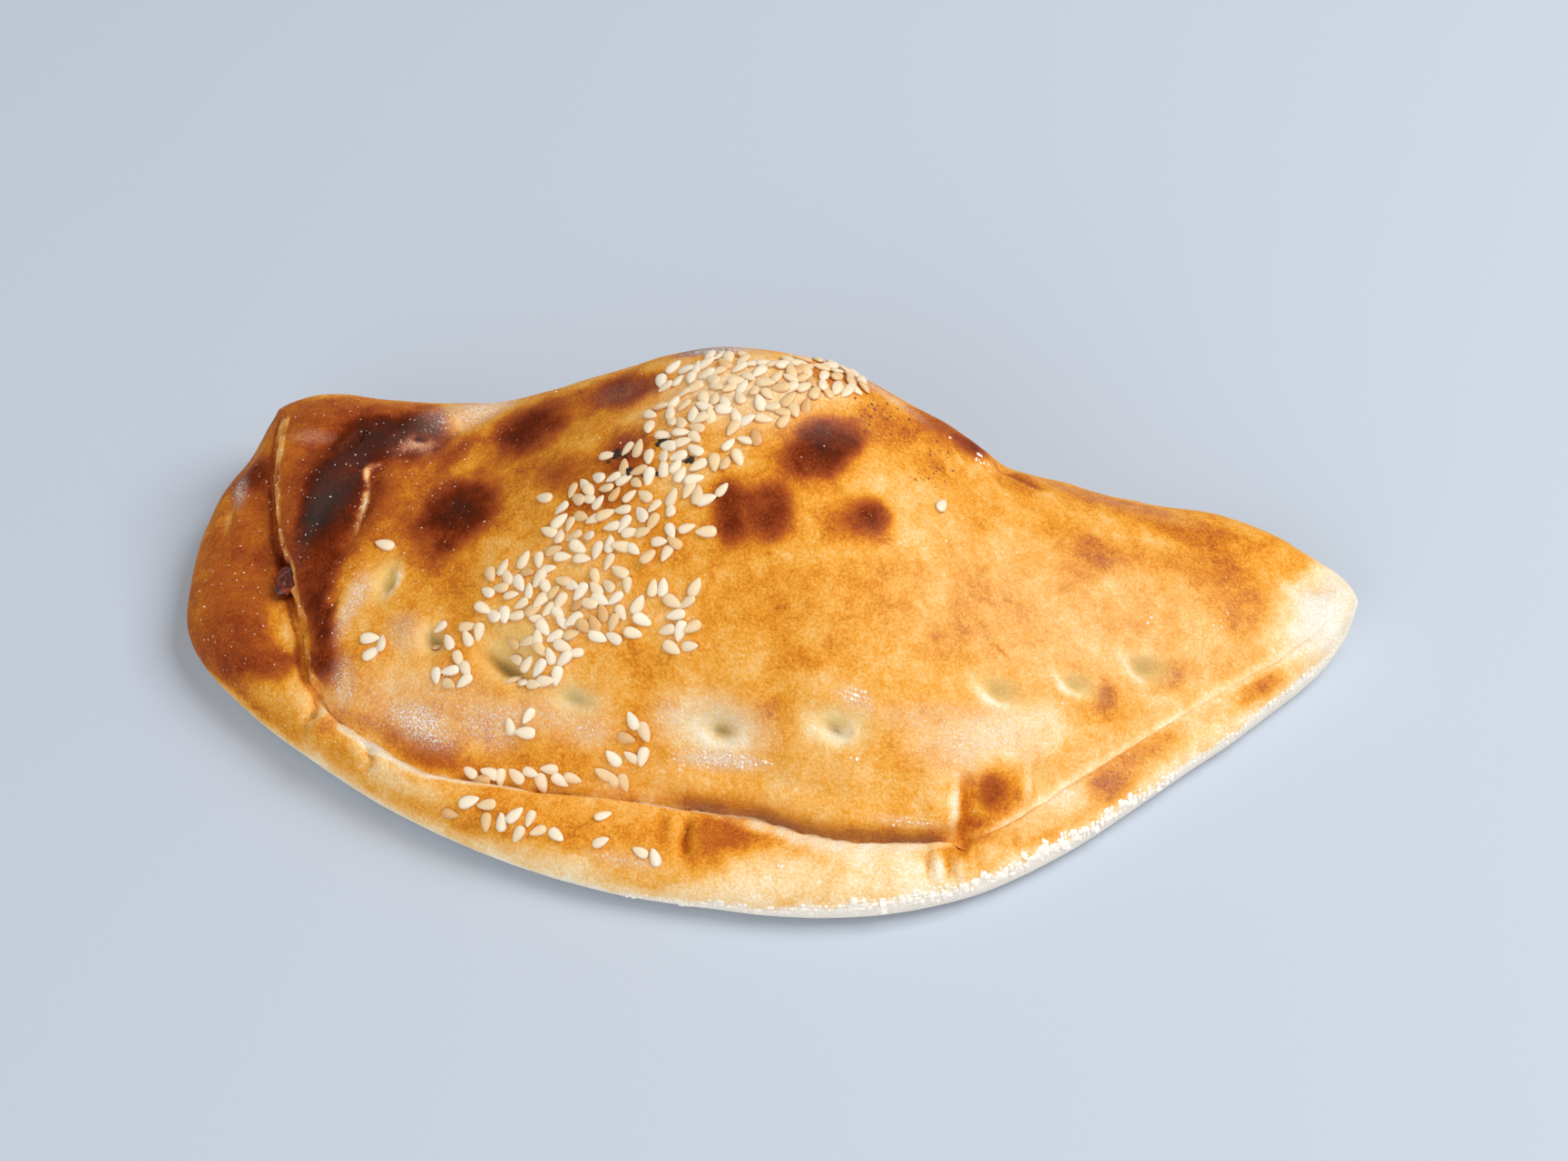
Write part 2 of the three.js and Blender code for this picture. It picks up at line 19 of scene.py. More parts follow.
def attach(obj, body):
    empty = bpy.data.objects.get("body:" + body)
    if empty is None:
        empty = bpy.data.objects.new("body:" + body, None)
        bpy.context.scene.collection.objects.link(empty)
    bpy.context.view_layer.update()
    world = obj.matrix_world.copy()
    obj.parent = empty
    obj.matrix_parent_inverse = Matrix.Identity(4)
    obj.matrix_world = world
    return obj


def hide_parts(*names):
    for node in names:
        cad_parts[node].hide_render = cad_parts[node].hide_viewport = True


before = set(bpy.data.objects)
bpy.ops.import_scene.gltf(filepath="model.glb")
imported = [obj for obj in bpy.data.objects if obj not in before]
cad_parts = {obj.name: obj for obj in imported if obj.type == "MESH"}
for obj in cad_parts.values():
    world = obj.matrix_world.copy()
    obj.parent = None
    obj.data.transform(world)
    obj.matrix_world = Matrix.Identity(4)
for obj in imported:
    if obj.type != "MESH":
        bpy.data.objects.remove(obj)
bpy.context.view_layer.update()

# %% [markdown]
# ## The outline of the dough
# A turnover is a sheet of dough laid over a filling and sealed along one curved edge. Modelling it by hand
# in sculpt mode would work, but it could not be repeated or measured. Here it is a loft, as in the packed
# model: a row of stations runs round the outline, and each station has a section from the floor to the crown.
# All sizes are in millimetres. X runs along the fold, Y towards the fold, Z up.

# %% Sizes of the loft
# The sealed front from the right tip round to the back left corner.
STATIONS = [
    # edge x, edge y, seam x, seam y, share of the length
    (92.4, 38.0, 89.5, 36.5, 0.0),
    (90.9, 30.0, 88.0, 30.0, 0.02),
    (87.0, 20.8, 84.5, 22.0, 0.05),
    (78.8, 8.8, 76.5, 13.8, 0.1),
    (67.9, -5.4, 66.0, 2.0, 0.17),
    (54.9, -21.9, 53.5, -12.8, 0.25),
    (40.3, -34.6, 42.0, -26.0, 0.33),
    (22.2, -41.9, 25.0, -31.2, 0.42),
    (4.0, -44.1, 7.0, -30.0, 0.52),
    (-14.0, -43.8, -12.0, -31.2, 0.61),
    (-32.0, -40.4, -29.8, -32.4, 0.7),
    (-49.0, -34.9, -45.0, -32.0, 0.78),
    (-64.0, -27.4, -57.0, -26.5, 0.845),
    (-77.6, -18.8, -64.3, -18.9, 0.89),
    (-89.0, -7.9, -69.8, -8.5, 0.92),
    (-92.9, 7.0, -74.5, 1.0, 0.945),
    (-93.0, 19.5, -79.8, 11.8, 0.965),
    (-90.2, 28.6, -83.0, 21.0, 0.985),
    (-87.4, 36.6, -84.2, 30.0, 1.0),
]
# The section along that front, in equal steps.
FRONT = [
    # rim height, edge height, undercut, groove depth, lip of the top sheet, share of rim in the section
    (7.5, 4.5, 3, 0.0, 0.0, 0.5),
    (8.0, 4.0, 3, 0.6, 0.0, 1.0),
    (8.0, 3.5, 4, 1.6, 0.0, 1.0),
    (9.0, 3.5, 4, 2.6, 0.0, 1.0),
    (10.0, 3.5, 4, 2.6, 0.0, 1.0),
    (10.0, 3.8, 4, 1.6, 0.6, 1.0),
    (11.0, 4.5, 4, 0.6, 2.0, 1.0),
    (13.0, 6.0, 4, 0.4, 3.4, 1.0),
    (16.0, 11.0, 5, 0.0, 2.0, 0.5),
]
# The folded back edge and the spine, the line of the crown, in equal steps from the tip to the left end.
LENGTH = [
    # fold edge y, its height, its undercut, spine y, spine z
    (43.8, 4.5, 3, 35.0, 8.0),
    (45.5, 7.2, 4, 31.0, 16.8),
    (44.7, 8.7, 6, 28.0, 21.7),
    (43.1, 9.5, 6, 26.5, 26.8),
    (43.8, 13.6, 8, 26.0, 38.4),
    (45.1, 16.6, 10, 27.0, 45.9),
    (44.8, 17.0, 10, 27.5, 45.0),
    (43.2, 14.0, 9, 26.5, 36.6),
    (41.6, 11.5, 8, 25.0, 27.2),
    (41.4, 10.6, 6, 25.0, 23.2),
    (41.8, 11.5, 6, 27.0, 21.8),
]
SPINE_ENDS = (86.0, -75.0)
FOLD_ENDS = (92.4, -87.4)
TIP_ROUNDING = (5.8, 0.018)  # inset, and the share of the length over which it fades
LEFT_ROUNDING = (5.2, 0.02)
FOLD_ROLL = 6.0  # width of the band along the fold that stands for the rim behind
END_BLEND = 0.06  # share of the length over which the section of the rim turns into that of the fold
ROLL_SHARE = 0.7  # share of the rim's width that its rounded edge takes up
GROOVE_START = 0.86  # share of the rim's width where the groove beside the seam begins
LIP_RUN = 0.5  # distance behind the seam over which the lip of the top sheet rises
CROWN_POWER = 0.85  # under 1 makes the foot of the top sheet steeper
FOLD_POWER = 2.2  # roundness of the fold's own section
FLOOR_LINE = (0.9, -14.0)  # the line under the spine where the base closes: squeeze in x, shift in y
SEAM_WAVES = [(43, 0.22), (97, 0.14), (211, 0.05)]  # how the hand-pressed seam strays: turns, size
WAVE_FADE = 0.05  # the share of the front over which the waves start and end
CREASED_FRONT = (-12.0, 54.0, 14.0)  # where the rim is creased, in x, and how softly that ends
CREASED_EXTRA = 1.0  # how much closer together the stations lie there
CURVE_STEPS = 801  # steps in which the length of the outline is measured
MM = 0.001
print("stations:", len(STATIONS), "sections:", len(FRONT), "rows along the length:", len(LENGTH))

# %% Curves through the stations


def mix(a, b, share):
    """A share of the way from a to b."""
    return a + (b - a) * share


def ease(share):
    """A share that is kept from 0 to 1, and starts and ends softly."""
    share = np.clip(share, 0, 1)
    return share * share * (3 - 2 * share)


def band(values, low, high, fade):
    """1 where values lie between low and high, fading to 0 on both sides."""
    return ease((values - low) / fade + 0.5) * ease((high - values) / fade + 0.5)


def through(rows, fractions):
    """A smooth curve through rows of numbers, at fractions of the way along."""
    rows = np.array(rows, float)
    last = len(rows) - 1
    place = np.clip(fractions, 0, 1) * last
    step = np.minimum(place.astype(int), last - 1)
    share = (place - step)[:, None]
    padded = np.vstack([2 * rows[0] - rows[1], rows, 2 * rows[-1] - rows[-2]])
    a, b, c, d = (padded[step + k] for k in range(4))
    square = 2 * a - 5 * b + 4 * c - d
    cube = 3 * b - a - 3 * c + d
    return 0.5 * (2 * b + (c - a) * share + square * share**2 + cube * share**3)


def evenly(rows, count):
    """Fractions evenly spaced along the curve through the first two columns, closer where it is creased."""
    fine = np.linspace(0, 1, CURVE_STEPS)
    points = through(rows, fine)[:, :2]
    steps = np.linalg.norm(np.diff(points, axis=0), axis=1)
    closeness = 1 + CREASED_EXTRA * band(points[1:, 0], *CREASED_FRONT)
    lengths = np.concatenate([[0], np.cumsum(steps * closeness)])
    return np.interp(np.linspace(0, lengths[-1], count + 1), lengths, fine)


front_line = through(STATIONS, np.linspace(0, 1, CURVE_STEPS))[:, :2]
print("length of the front, mm:", np.linalg.norm(np.diff(front_line, axis=0), axis=1).sum().round(1))

# %% [markdown]
# ## Stations all round
# A station of the front and its partner on the fold share one point of the spine, so the two halves meet
# there without a gap. numpy works on all stations at once, which keeps a fine mesh quick to make.

# %% Stations
EDGE_HEIGHT, UNDERCUT, GROOVE, LIP, RIM_SHARE = 1, 2, 3, 4, 5  # columns of a section


class Stations:
    """The stations all round: along the front from the tip to the left, then back along the fold."""

    def __init__(self, count):
        half = count // 2
        fractions = evenly(STATIONS, half)
        front = through(STATIONS, fractions)
        section = through(FRONT, fractions)
        share = np.clip(front[:, 4], 0, 1)
        fold_y, fold_height, fold_undercut, spine_y, spine_z = through(LENGTH, share).T
        self.line = np.column_stack([mix(*SPINE_ENDS, share), spine_y, spine_z])
        at_tip = TIP_ROUNDING[0] * np.exp(-share / TIP_ROUNDING[1])
        at_left = LEFT_ROUNDING[0] * np.exp((share - 1) / LEFT_ROUNDING[1])
        fold_edge = np.column_stack([mix(*FOLD_ENDS, share), fold_y - at_tip - at_left])
        order = np.concatenate([np.arange(half), half - np.arange(half)])
        in_front = (np.arange(count) < half)[:, None]
        near_tip = (share[order] < 0.5)[:, None]
        behind = ease(np.minimum(share, 1 - share) / END_BLEND)[order][:, None]
        self.partner = np.minimum(np.arange(count), count - np.arange(count))
        self.spine = self.line[order]
        self.edge = np.where(in_front, front[order, :2], fold_edge[order])
        inward = self.spine[:, :2] - self.edge
        self.inward = inward / np.linalg.norm(inward, axis=1)[:, None]
        waves = sum(size * np.sin(turns * fractions + turns) for turns, size in SEAM_WAVES)
        waves *= ease(np.minimum(fractions, 1 - fractions) / WAVE_FADE)
        front[:, 2:4] += waves[:, None]
        seam_offset = front[:, 2:4] - front[:, :2]
        started = self.edge + np.where(near_tip, seam_offset[0], seam_offset[half])
        rolled = self.edge + self.inward * FOLD_ROLL
        self.seam = np.where(in_front, front[order, 2:4], mix(started, rolled, behind))
        end = np.where(near_tip, section[0], section[half])
        fold_section = end.copy()
        fold_section[:, EDGE_HEIGHT] = fold_height[order]
        fold_section[:, UNDERCUT] = fold_undercut[order]
        fold_section[:, GROOVE] = 0
        fold_section[:, RIM_SHARE] *= 1 - behind[:, 0]
        self.section = np.where(in_front, section[order], fold_section)
        self.rim_width = np.linalg.norm(self.seam - self.edge, axis=1)
        self.sheet_width = np.linalg.norm(self.spine[:, :2] - self.seam, axis=1)
        self.front_share = np.where(in_front[:, 0], fractions[order], -1)

    def under(self, share):
        """Points of the underside, at a share of the quarter turn from the floor up to the outline."""
        angle = share * math.pi / 2
        inset = self.section[:, UNDERCUT] * (1 - math.sin(angle))
        place = self.edge + self.inward * inset[:, None]
        return np.column_stack([place, self.section[:, EDGE_HEIGHT] * (1 - math.cos(angle))])

    def top(self, on_rim, on_sheet):
        """Points of the top: over the rim, then across the seam and up the sheet to the spine."""
        height, edge_height, _, groove, lip, rim_share = self.section.T
        crown = self.spine[:, 2]
        if on_sheet > 0:
            place = mix(self.seam, self.spine[:, :2], on_sheet)
            rise = 1 - np.exp(-on_sheet * self.sheet_width / LIP_RUN)
            front = mix(height - groove + lip * rise, crown, (1 - (1 - on_sheet) ** 2) ** CROWN_POWER)
        else:
            place = mix(self.edge, self.seam, on_rim)
            roll = min(on_rim / ROLL_SHARE, 1)
            fall = max((on_rim - GROOVE_START) / (1 - GROOVE_START), 0)
            front = mix(edge_height, height, math.sqrt(1 - (1 - roll) ** 2)) - groove * fall**2
        away = on_rim * self.rim_width + on_sheet * self.sheet_width
        on_fold = np.minimum(away / (self.rim_width + self.sheet_width), 1)
        fold = mix(edge_height, crown, np.sqrt(1 - (1 - on_fold) ** FOLD_POWER))
        return np.column_stack([place, mix(fold, front, rim_share)])


ROUND = 700
stations = Stations(ROUND)
print("stations round the outline:", ROUND)

# %% [markdown]
# ## The dough as one closed mesh
# Rings of points run from the base up over the rim to the crown. They lie closest together where the form
# turns quickest: round the rolled edge, in the groove beside the seam, and at the lip of the top sheet.

# %% Rings and faces
UNDER_COUNT = 8
ROLL_COUNT = 14
RIM_COUNT = 14
SHEET_COUNT = 90
SHEET_CROWDING = 1.35  # over 1 brings the rings of the top sheet closer together near the seam

under_shares = np.linspace(0, 1, UNDER_COUNT, endpoint=False)
roll_shares = ROLL_SHARE * (1 - np.cos(np.linspace(0, math.pi / 2, ROLL_COUNT)))
rim_shares = np.concatenate([roll_shares, np.linspace(ROLL_SHARE, 1, RIM_COUNT + 1)[1:]])
sheet_shares = (np.arange(1, SHEET_COUNT) / SHEET_COUNT) ** SHEET_CROWDING

rings = [stations.under(share) for share in under_shares]
rings += [stations.top(share, 0) for share in rim_shares]
rings += [stations.top(1, share) for share in sheet_shares]
squeeze, shift = FLOOR_LINE
spine_x, spine_y, _ = stations.line.T
floor_line = np.column_stack([spine_x * squeeze, spine_y + shift, 0 * spine_x])
points = np.vstack(rings + [stations.line, floor_line])


def ring_faces(ring_count, count, partner):
    """Faces between the rings, up to the crown and down to the middle of the base, all facing outward."""
    here = np.arange(count)
    after = (here + 1) % count
    crown = ring_count * count
    base = crown + count // 2 + 1
    faces = []
    for low in range(0, crown - count, count):
        high = low + count
        faces.append(np.column_stack([low + here, high + here, high + after, low + after]))
    last = crown - count
    faces.append(np.column_stack([last + here, crown + partner, crown + partner[after], last + after]))
    faces.append(np.column_stack([after, base + partner[after], base + partner, here]))
    return np.vstack(faces)


faces = ring_faces(len(rings), ROUND, stations.partner)
TINY = 1e-9  # keeps a length of 0 from being divided by


def facing(points, faces):
    """The outward direction at each point."""
    a, b, c, d = (points[faces[:, k]] for k in range(4))
    across = np.cross(c - a, d - b)
    total = np.zeros_like(points)
    for k in range(4):
        np.add.at(total, faces[:, k], across)
    return total / np.maximum(np.linalg.norm(total, axis=1), TINY)[:, None]


normals = facing(points, faces)
print("dough:", len(points), "points,", 2 * len(faces), "triangles")

# %% [markdown]
# ## Places on the dough
# Dimples, blisters and flour are all ovals that lie on the surface. An oval drawn on the plan would be
# stretched on the steep front, so each oval is measured in the plane that touches the dough at its middle.

# %% Distances along the surface
upper = np.arange(len(points)) >= UNDER_COUNT * ROUND
upper[-len(floor_line):] = False
FAR = 99.0  # stands for a distance where none is measured
crown_start = len(rings) * ROUND
steps = np.linalg.norm(np.diff(np.array(rings), axis=0), axis=2)
on_section = np.vstack([np.zeros(ROUND), np.cumsum(steps, axis=0)])
# How far each point lies above the outline and behind the seam, along the surface; below them it is negative.
edge_away = np.full(len(points), FAR)
edge_away[:crown_start] = (on_section - on_section[UNDER_COUNT]).ravel()
edge_away[-len(floor_line):] = -FAR
seam_away = np.full(len(points), FAR)
seam_away[:crown_start] = (on_section - on_section[UNDER_COUNT + len(rim_shares) - 1]).ravel()
# How far round the front each point's station is, from 0 at the tip to 1 at the back left corner; -1 behind.
front_share = np.full(len(points), -1.0)
front_share[:crown_start] = np.tile(stations.front_share, len(rings))
# How high the edge of the top sheet stands over the rim at each point's station.
lip_height = np.zeros(len(points))
lip_height[:crown_start] = np.tile(stations.section[:, LIP], len(rings))
print("points of the top:", upper.sum(), "longest section, mm:", on_section.max().round(1))

# %% Ovals and lines on the surface
OVAL_DEPTH = 1.2  # how deep below its plane an oval reaches, in half lengths
LINE_STEPS = 40
upper_index = np.flatnonzero(upper)


def top_index(x, y):
    """The point of the top that lies over a place of the plan."""
    gap = np.hypot(points[upper_index, 0] - x, points[upper_index, 1] - y)
    return upper_index[np.argmin(gap)]


def oval(x, y, along, across, turn):
    """How far each point is from the middle of an oval on the surface: 1 on its outline."""
    k = top_index(x, y)
    normal = normals[k]
    first = np.array([1.0, 0.0, 0.0]) - normal * normal[0]
    first /= np.linalg.norm(first)
    second = np.cross(normal, first)
    angle = math.radians(turn)
    axis_u = first * math.cos(angle) + second * math.sin(angle)
    axis_v = second * math.cos(angle) - first * math.sin(angle)
    offset = points - points[k]
    depth = OVAL_DEPTH * max(along, across)
    parts = (offset @ axis_u / along, offset @ axis_v / across, offset @ normal / depth)
    return np.linalg.norm(parts, axis=0)


def line(places):
    """How far each point is from a curve laid over the top, and how far along the curve that is nearest."""
    fractions = np.linspace(0, 1, LINE_STEPS)
    curve = through(places, fractions)
    nearest = np.full(len(points), np.inf)
    along = np.zeros(len(points))
    for fraction, (x, y) in zip(fractions, curve):
        gap = np.linalg.norm(points - points[top_index(x, y)], axis=1)
        closer = gap < nearest
        nearest[closer] = gap[closer]
        along[closer] = fraction
    return nearest, along


print("highest point of the top, mm:", points[upper_index, 2].max().round(1))

# %% Noise on the surface
NOISES = [(14, 3), (5.5, 11), (2.2, 23), (1.1, 31)]  # size of the lumps, and where the random numbers start
NOISE_VALUES = 256


def noise(size, start):
    """Soft random values from -1 to 1 over the dough, in lumps of about the given size."""
    shuffle = np.random.RandomState(start).permutation(NOISE_VALUES)
    heights = np.random.RandomState(start + 1).uniform(-1, 1, NOISE_VALUES)
    cell = points / size
    low = np.floor(cell).astype(int)
    part = ease(cell - low)
    total = np.zeros(len(points))
    for corner in itertools.product((0, 1), repeat=3):
        x, y, z = ((low + corner) % NOISE_VALUES).T
        row = shuffle[(shuffle[x] + y) % NOISE_VALUES]
        value = heights[shuffle[(row + z) % NOISE_VALUES]]
        weight = np.where(np.array(corner) == 1, part, 1 - part).prod(axis=1)
        total += value * weight
    return total


noises = [noise(size, start) for size, start in NOISES]
large_noise, middle_noise, small_noise, tiny_noise = noises


def bell(values, steepness=1.0):
    """1 where values are 0, falling off to 0 on both sides."""
    return np.exp(-steepness * values**2)


def roughened(values, middle=0.0, small=0.0, tiny=0.0):
    """Values with some of each noise added."""
    return values + middle * middle_noise + small * small_noise + tiny * tiny_noise


def patchy(base, **amounts):
    """A share from 0 to 1 that comes and goes in patches."""
    return ease(roughened(base, **amounts))


print("noise spread:", [round(float(values.std()), 2) for values in noises])

# %% [markdown]
# ## Relief of the dough
# Hand-made dough is never even: it has soft lumps, finger dimples that were pressed to let steam out, creases
# where the rim was pinched, and blisters that the oven raised. Each kind is a short list of places with true
# sizes, and all are added up as one push along the outward direction.

# %% Lists of dimples, swellings and creases
SWELLINGS = [
    # x, y, height, half length, half width, turn in degrees
    (-49.4, -13.2, 1.2, 3.2, 3.0, 0),
    (35.4, -24.8, 1.1, 4.2, 2.4, -81),
    (43.4, -18.8, 0.9, 3.6, 3.0, 80),
    (47.5, -16.6, 0.7, 2.8, 0.9, -79),
    (49.8, -14.2, -1.4, 3.2, 1.9, -79),
    (26.5, 35.0, 0.3, 7.0, 5.0, 0),
    (34.6, 36.0, -1.6, 2.2, 4.0, 0),
    (43.0, 40.0, 0.8, 6.0, 4.0, 0),
    (72.0, 42.0, 0.7, 18.0, 4.0, 0),
    (-71.5, 14.0, 1.3, 10.0, 2.6, 84),
    (-65.0, 11.5, -1.3, 9.0, 2.2, 88),
    (-53.0, 29.0, -1.3, 7.0, 2.4, 38),
    (-80.0, 35.0, 0.6, 6.0, 4.0, 0),
    (-89.0, 26.0, -0.9, 5.0, 3.0, 70),
    (-74.5, 24.0, -1.2, 4.5, 2.0, 40),
    (-61.4, -27.7, 0.9, 2.4, 1.8, 21),
    (9.3, 14.8, 0.5, 5.0, 4.0, 60),
    (0.5, 3.0, 0.5, 5.0, 4.0, 0),
    (17.5, 7.1, 0.45, 4.0, 3.2, 20),
    (-47.5, 8.3, 0.6, 5.6, 5.0, 0),
    (-39.9, 25.0, 0.6, 7.0, 5.4, 0),
]
DIMPLES = [
    # x, y, depth, half length, half width, turn in degrees
    (-56.6, -3.8, 1.6, 3.8, 2.2, -85),
    (-46.0, -13.9, 1.5, 2.8, 2.0, -64),
    (-33.6, -17.8, 2.6, 5.2, 3.0, -30),
    (-21.6, -21.9, 1.2, 3.8, 2.0, -10),
    (1.0, -22.7, 1.9, 5.0, 3.0, 1),
    (18.6, -20.5, 2.1, 5.0, 2.9, -1),
    (41.7, -6.9, 1.5, 4.2, 2.4, 0),
    (52.2, 0.1, 1.2, 3.8, 1.8, -11),
    (61.7, 7.6, 1.5, 4.5, 2.7, -3),
]
PITS = [
    # x, y, depth, half length, half width, turn in degrees, how dark its painted shade is
    (1.6, -23.2, 1.5, 1.8, 1.2, 10, 1.0),
    (18.6, -21.1, 1.7, 1.9, 1.2, 0, 1.0),
    (41.9, -7.0, 1.2, 2.5, 1.4, 3, 0.36),
    (52.2, 0.0, 0.9, 2.3, 1.1, 0, 0.28),
    (62.2, 7.6, 1.3, 2.4, 1.6, 0, 0.44),
    (-46.0, -14.0, 1.4, 1.6, 1.3, -51, 1.0),
    (-56.5, -4.2, 0.7, 1.7, 1.2, -71, 0.4),
    (-33.2, -19.0, 1.2, 3.9, 1.0, -28, 1.0),
    (-21.6, -22.1, 0.4, 2.6, 1.2, -10, 0.6),
]
WALLS = [
    # half width, height, how pale, places along it: painted light on lit sides of dimples and on rim ridges
    (0.9, 0.35, 1.0, [(37.4, -8.1), (38.7, -8.9), (40.4, -9.1), (42.3, -8.5), (43.9, -7.6)]),
    (0.75, 0.3, 1.0, [(48.3, 0.4), (49.7, -0.9), (51.5, -1.3), (53.8, -0.6)]),
    (0.9, 0.4, 1.0, [(57.1, 8.4), (58.8, 6.5), (60.5, 5.7), (62.5, 6.2)]),
    (1.2, 0.25, 1.0, [(-3.3, -22.3), (-1.7, -23.7), (1.2, -24.2), (4.3, -23.6), (5.9, -22.4)]),
    (1.2, 0.25, 1.0, [(13.8, -20.2), (15.5, -21.5), (17.9, -21.9), (20.5, -21.1), (21.6, -19.7)]),
    (0.8, 0.3, 1.0, [(-54.9, -1.6), (-54.7, -4.4), (-56.0, -6.8)]),
    (0.8, 0.45, 0.9, [(36.1, -32.0), (37.0, -33.8), (37.6, -35.4)]),
    (0.7, 0.45, 0.8, [(39.5, -31.2), (40.1, -32.9), (40.5, -34.2)]),
]
CREASES = [
    # depth, half width, places along it
    (2.1, 0.6, [(-1.8, -33.0), (-1.3, -36.3), (-0.4, -39.5)]),
    (0.8, 0.6, [(-5.7, -33.2), (-4.8, -36.1), (-4.1, -38.0)]),
    (1.9, 1.2, [(38.7, -19.0), (39.1, -22.1), (39.3, -24.6), (39.6, -28.3), (39.7, -31.5)]),
    (1.1, 0.55, [(37.3, -29.5), (38.2, -32.2), (39.0, -34.6)]),
    (1.0, 0.5, [(34.5, -30.5), (35.2, -33.2), (35.8, -35.6)]),
    (0.7, 0.5, [(41.7, -28.5), (42.4, -30.5), (42.9, -31.8)]),
    (0.7, 0.6, [(45.9, -24.1), (47.1, -25.9), (47.9, -27.1)]),
    (1.2, 0.6, [(-38.2, -15.7), (-35.9, -17.7), (-33.4, -19.3), (-30.1, -20.3)]),
    (1.3, 0.8, [(-63.3, -20.0), (-63.1, -24.5), (-64.9, -26.4)]),
    (1.2, 0.7, [(-53.3, -28.5), (-52.0, -31.6), (-52.4, -33.0)]),
    (0.8, 1.1, [(-89.7, 17.7), (-88.9, 12.8), (-88.0, 8.9)]),
    (2.0, 1.0, [(33.2, 34.6), (35.6, 34.9), (38.0, 34.6), (40.5, 34.2)]),
    (2.2, 0.8, [(-71.1, 20.1), (-70.2, 21.9), (-69.6, 24.1), (-68.9, 26.6)]),
    (0.8, 0.7, [(-64.0, -5.8), (-64.8, -8.6), (-65.6, -12.2)]),
]

print("dimples:", len(DIMPLES), "swellings:", len(SWELLINGS), "creases:", len(CREASES), "walls:", len(WALLS))

# %% Press them into the dough
DIMPLE_SHARE = 0.8  # of a dimple's depth: the pit in it takes it further down
DIMPLE_STEEPNESS = 1.5
RAW_STEEPNESS = 1.3
PIT_STEEPNESS = 1.2
PIT_LIP = (0.2, 1.5, 0.4)  # height as a share of the depth, place and width in half sizes of the pit
STRIP_ENDS = (0.02, 0.98)  # the shares of its length at which a strip has faded out

push = np.zeros(len(points))
for *spot, height, along, across, turn in SWELLINGS:
    push += height * bell(oval(*spot, along, across, turn))
dish = np.zeros(len(points))
for *spot, depth, along, across, turn in DIMPLES:
    away = oval(*spot, along, across, turn)
    push -= DIMPLE_SHARE * depth * bell(away, DIMPLE_STEEPNESS)
    dish = np.maximum(dish, bell(away, RAW_STEEPNESS))
# Pits are darkened with painted shade, as in a hollow.
pit = np.zeros(len(points))
lip_share, lip_place, lip_width = PIT_LIP
for *spot, depth, along, across, turn, darkness in PITS:
    away = oval(*spot, along, across, turn)
    push += lip_share * depth * bell((away - lip_place) / lip_width) - depth * bell(away)
    pit = np.maximum(pit, darkness * bell(away, PIT_STEEPNESS))


def strip(width, places):
    """1 on a curve laid over the top, fading out over its half width and towards both ends."""
    away, fraction = line(places)
    return bell(away / width) * np.sqrt(np.sin(math.pi * np.clip(fraction, *STRIP_ENDS)))


creased = np.zeros(len(points))
for depth, width, places in CREASES:
    profile = strip(width, places)
    push -= depth * profile
    creased = np.maximum(creased, depth * profile)
# The walls are painted pale, as the light on their lit sides.
wall_highlight = np.zeros(len(points))
for width, height, paleness, places in WALLS:
    profile = strip(width, places)
    push += height * profile
    wall_highlight = np.maximum(wall_highlight, paleness * profile)
print("pushed from", push.min().round(1), "to", push.max().round(1), "mm")

# %% Relief along the seam
STRETCHES = [
    # share of the front where it starts, where it ends, and over which it fades
    (0.1, 0.335, 0.04),  # pressed: at the right, sheet and rim are pressed into one soft valley
    (0.35, 0.478, 0.03),  # overhang: at the middle, the foot of the top sheet bulges over the seam
    (0.35, 0.455, 0.03),  # wide lip: there the pale inner edge of the rim is widest
    (0.478, 0.68, 0.03),  # pressed flat: left of the overhang, sheet and rim are pressed flat together
    (0.35, 0.69, 0.03),  # sealed: all of the seam from the overhang to the step
]
STEP_START = 0.69  # from this share of the front on, the edge of the top sheet stands up as a torn step
STEP_FADE = 0.04
TIP_MIDDLE = (90.0, 34.0)
TIP_REACH = 22.0  # the seam fades out on the tip within this distance
TIP_FADE = 10.0
LUMP_HEIGHTS = (0.28, 0.12, 0.05)  # of the large, middle and small lumps all over the dough
FLOOR_FADE = 3.0  # the relief fades out towards the base within this height

pressed, overhang, wide_lip, pressed_flat, sealed = (band(front_share, *row) for row in STRETCHES)
stepped = ease((front_share - STEP_START) / STEP_FADE)
crest_away = seam_away - lip_height
from_tip = np.linalg.norm(points[:, :2] - TIP_MIDDLE, axis=1)
on_tip = ease((TIP_REACH - from_tip) / TIP_FADE)
crumb = small_noise + tiny_noise
SEAM_RIDGES = [
    # height, half width, where
    (0.9, 1.5, pressed),
    (0.9, 2.4, on_tip),
]
SEAM_BULGES = [
    # height, the band it fills (from, to and fade, as distances from the seam or the crest), and where
    (0.7, band(seam_away, -1.4, 0.6, 1.4), overhang),
    (1.0, band(seam_away, 2.6, 6.5, 3.0), overhang),
    (0.9, band(seam_away, -1.2, 0.7, 1.2), pressed_flat * patchy(0.6, middle=0.9)),
    (0.25 * crumb, band(seam_away, -1.8, 0.8, 1.2), sealed),
    (0.4 * crumb, band(crest_away, -1.4, 1.0, 1.0), stepped),
]
for height, width, where in SEAM_RIDGES:
    push += height * bell(seam_away / width) * where
for height, profile, where in SEAM_BULGES:
    push += height * profile * where
for height, values in zip(LUMP_HEIGHTS, noises):
    push += height * values

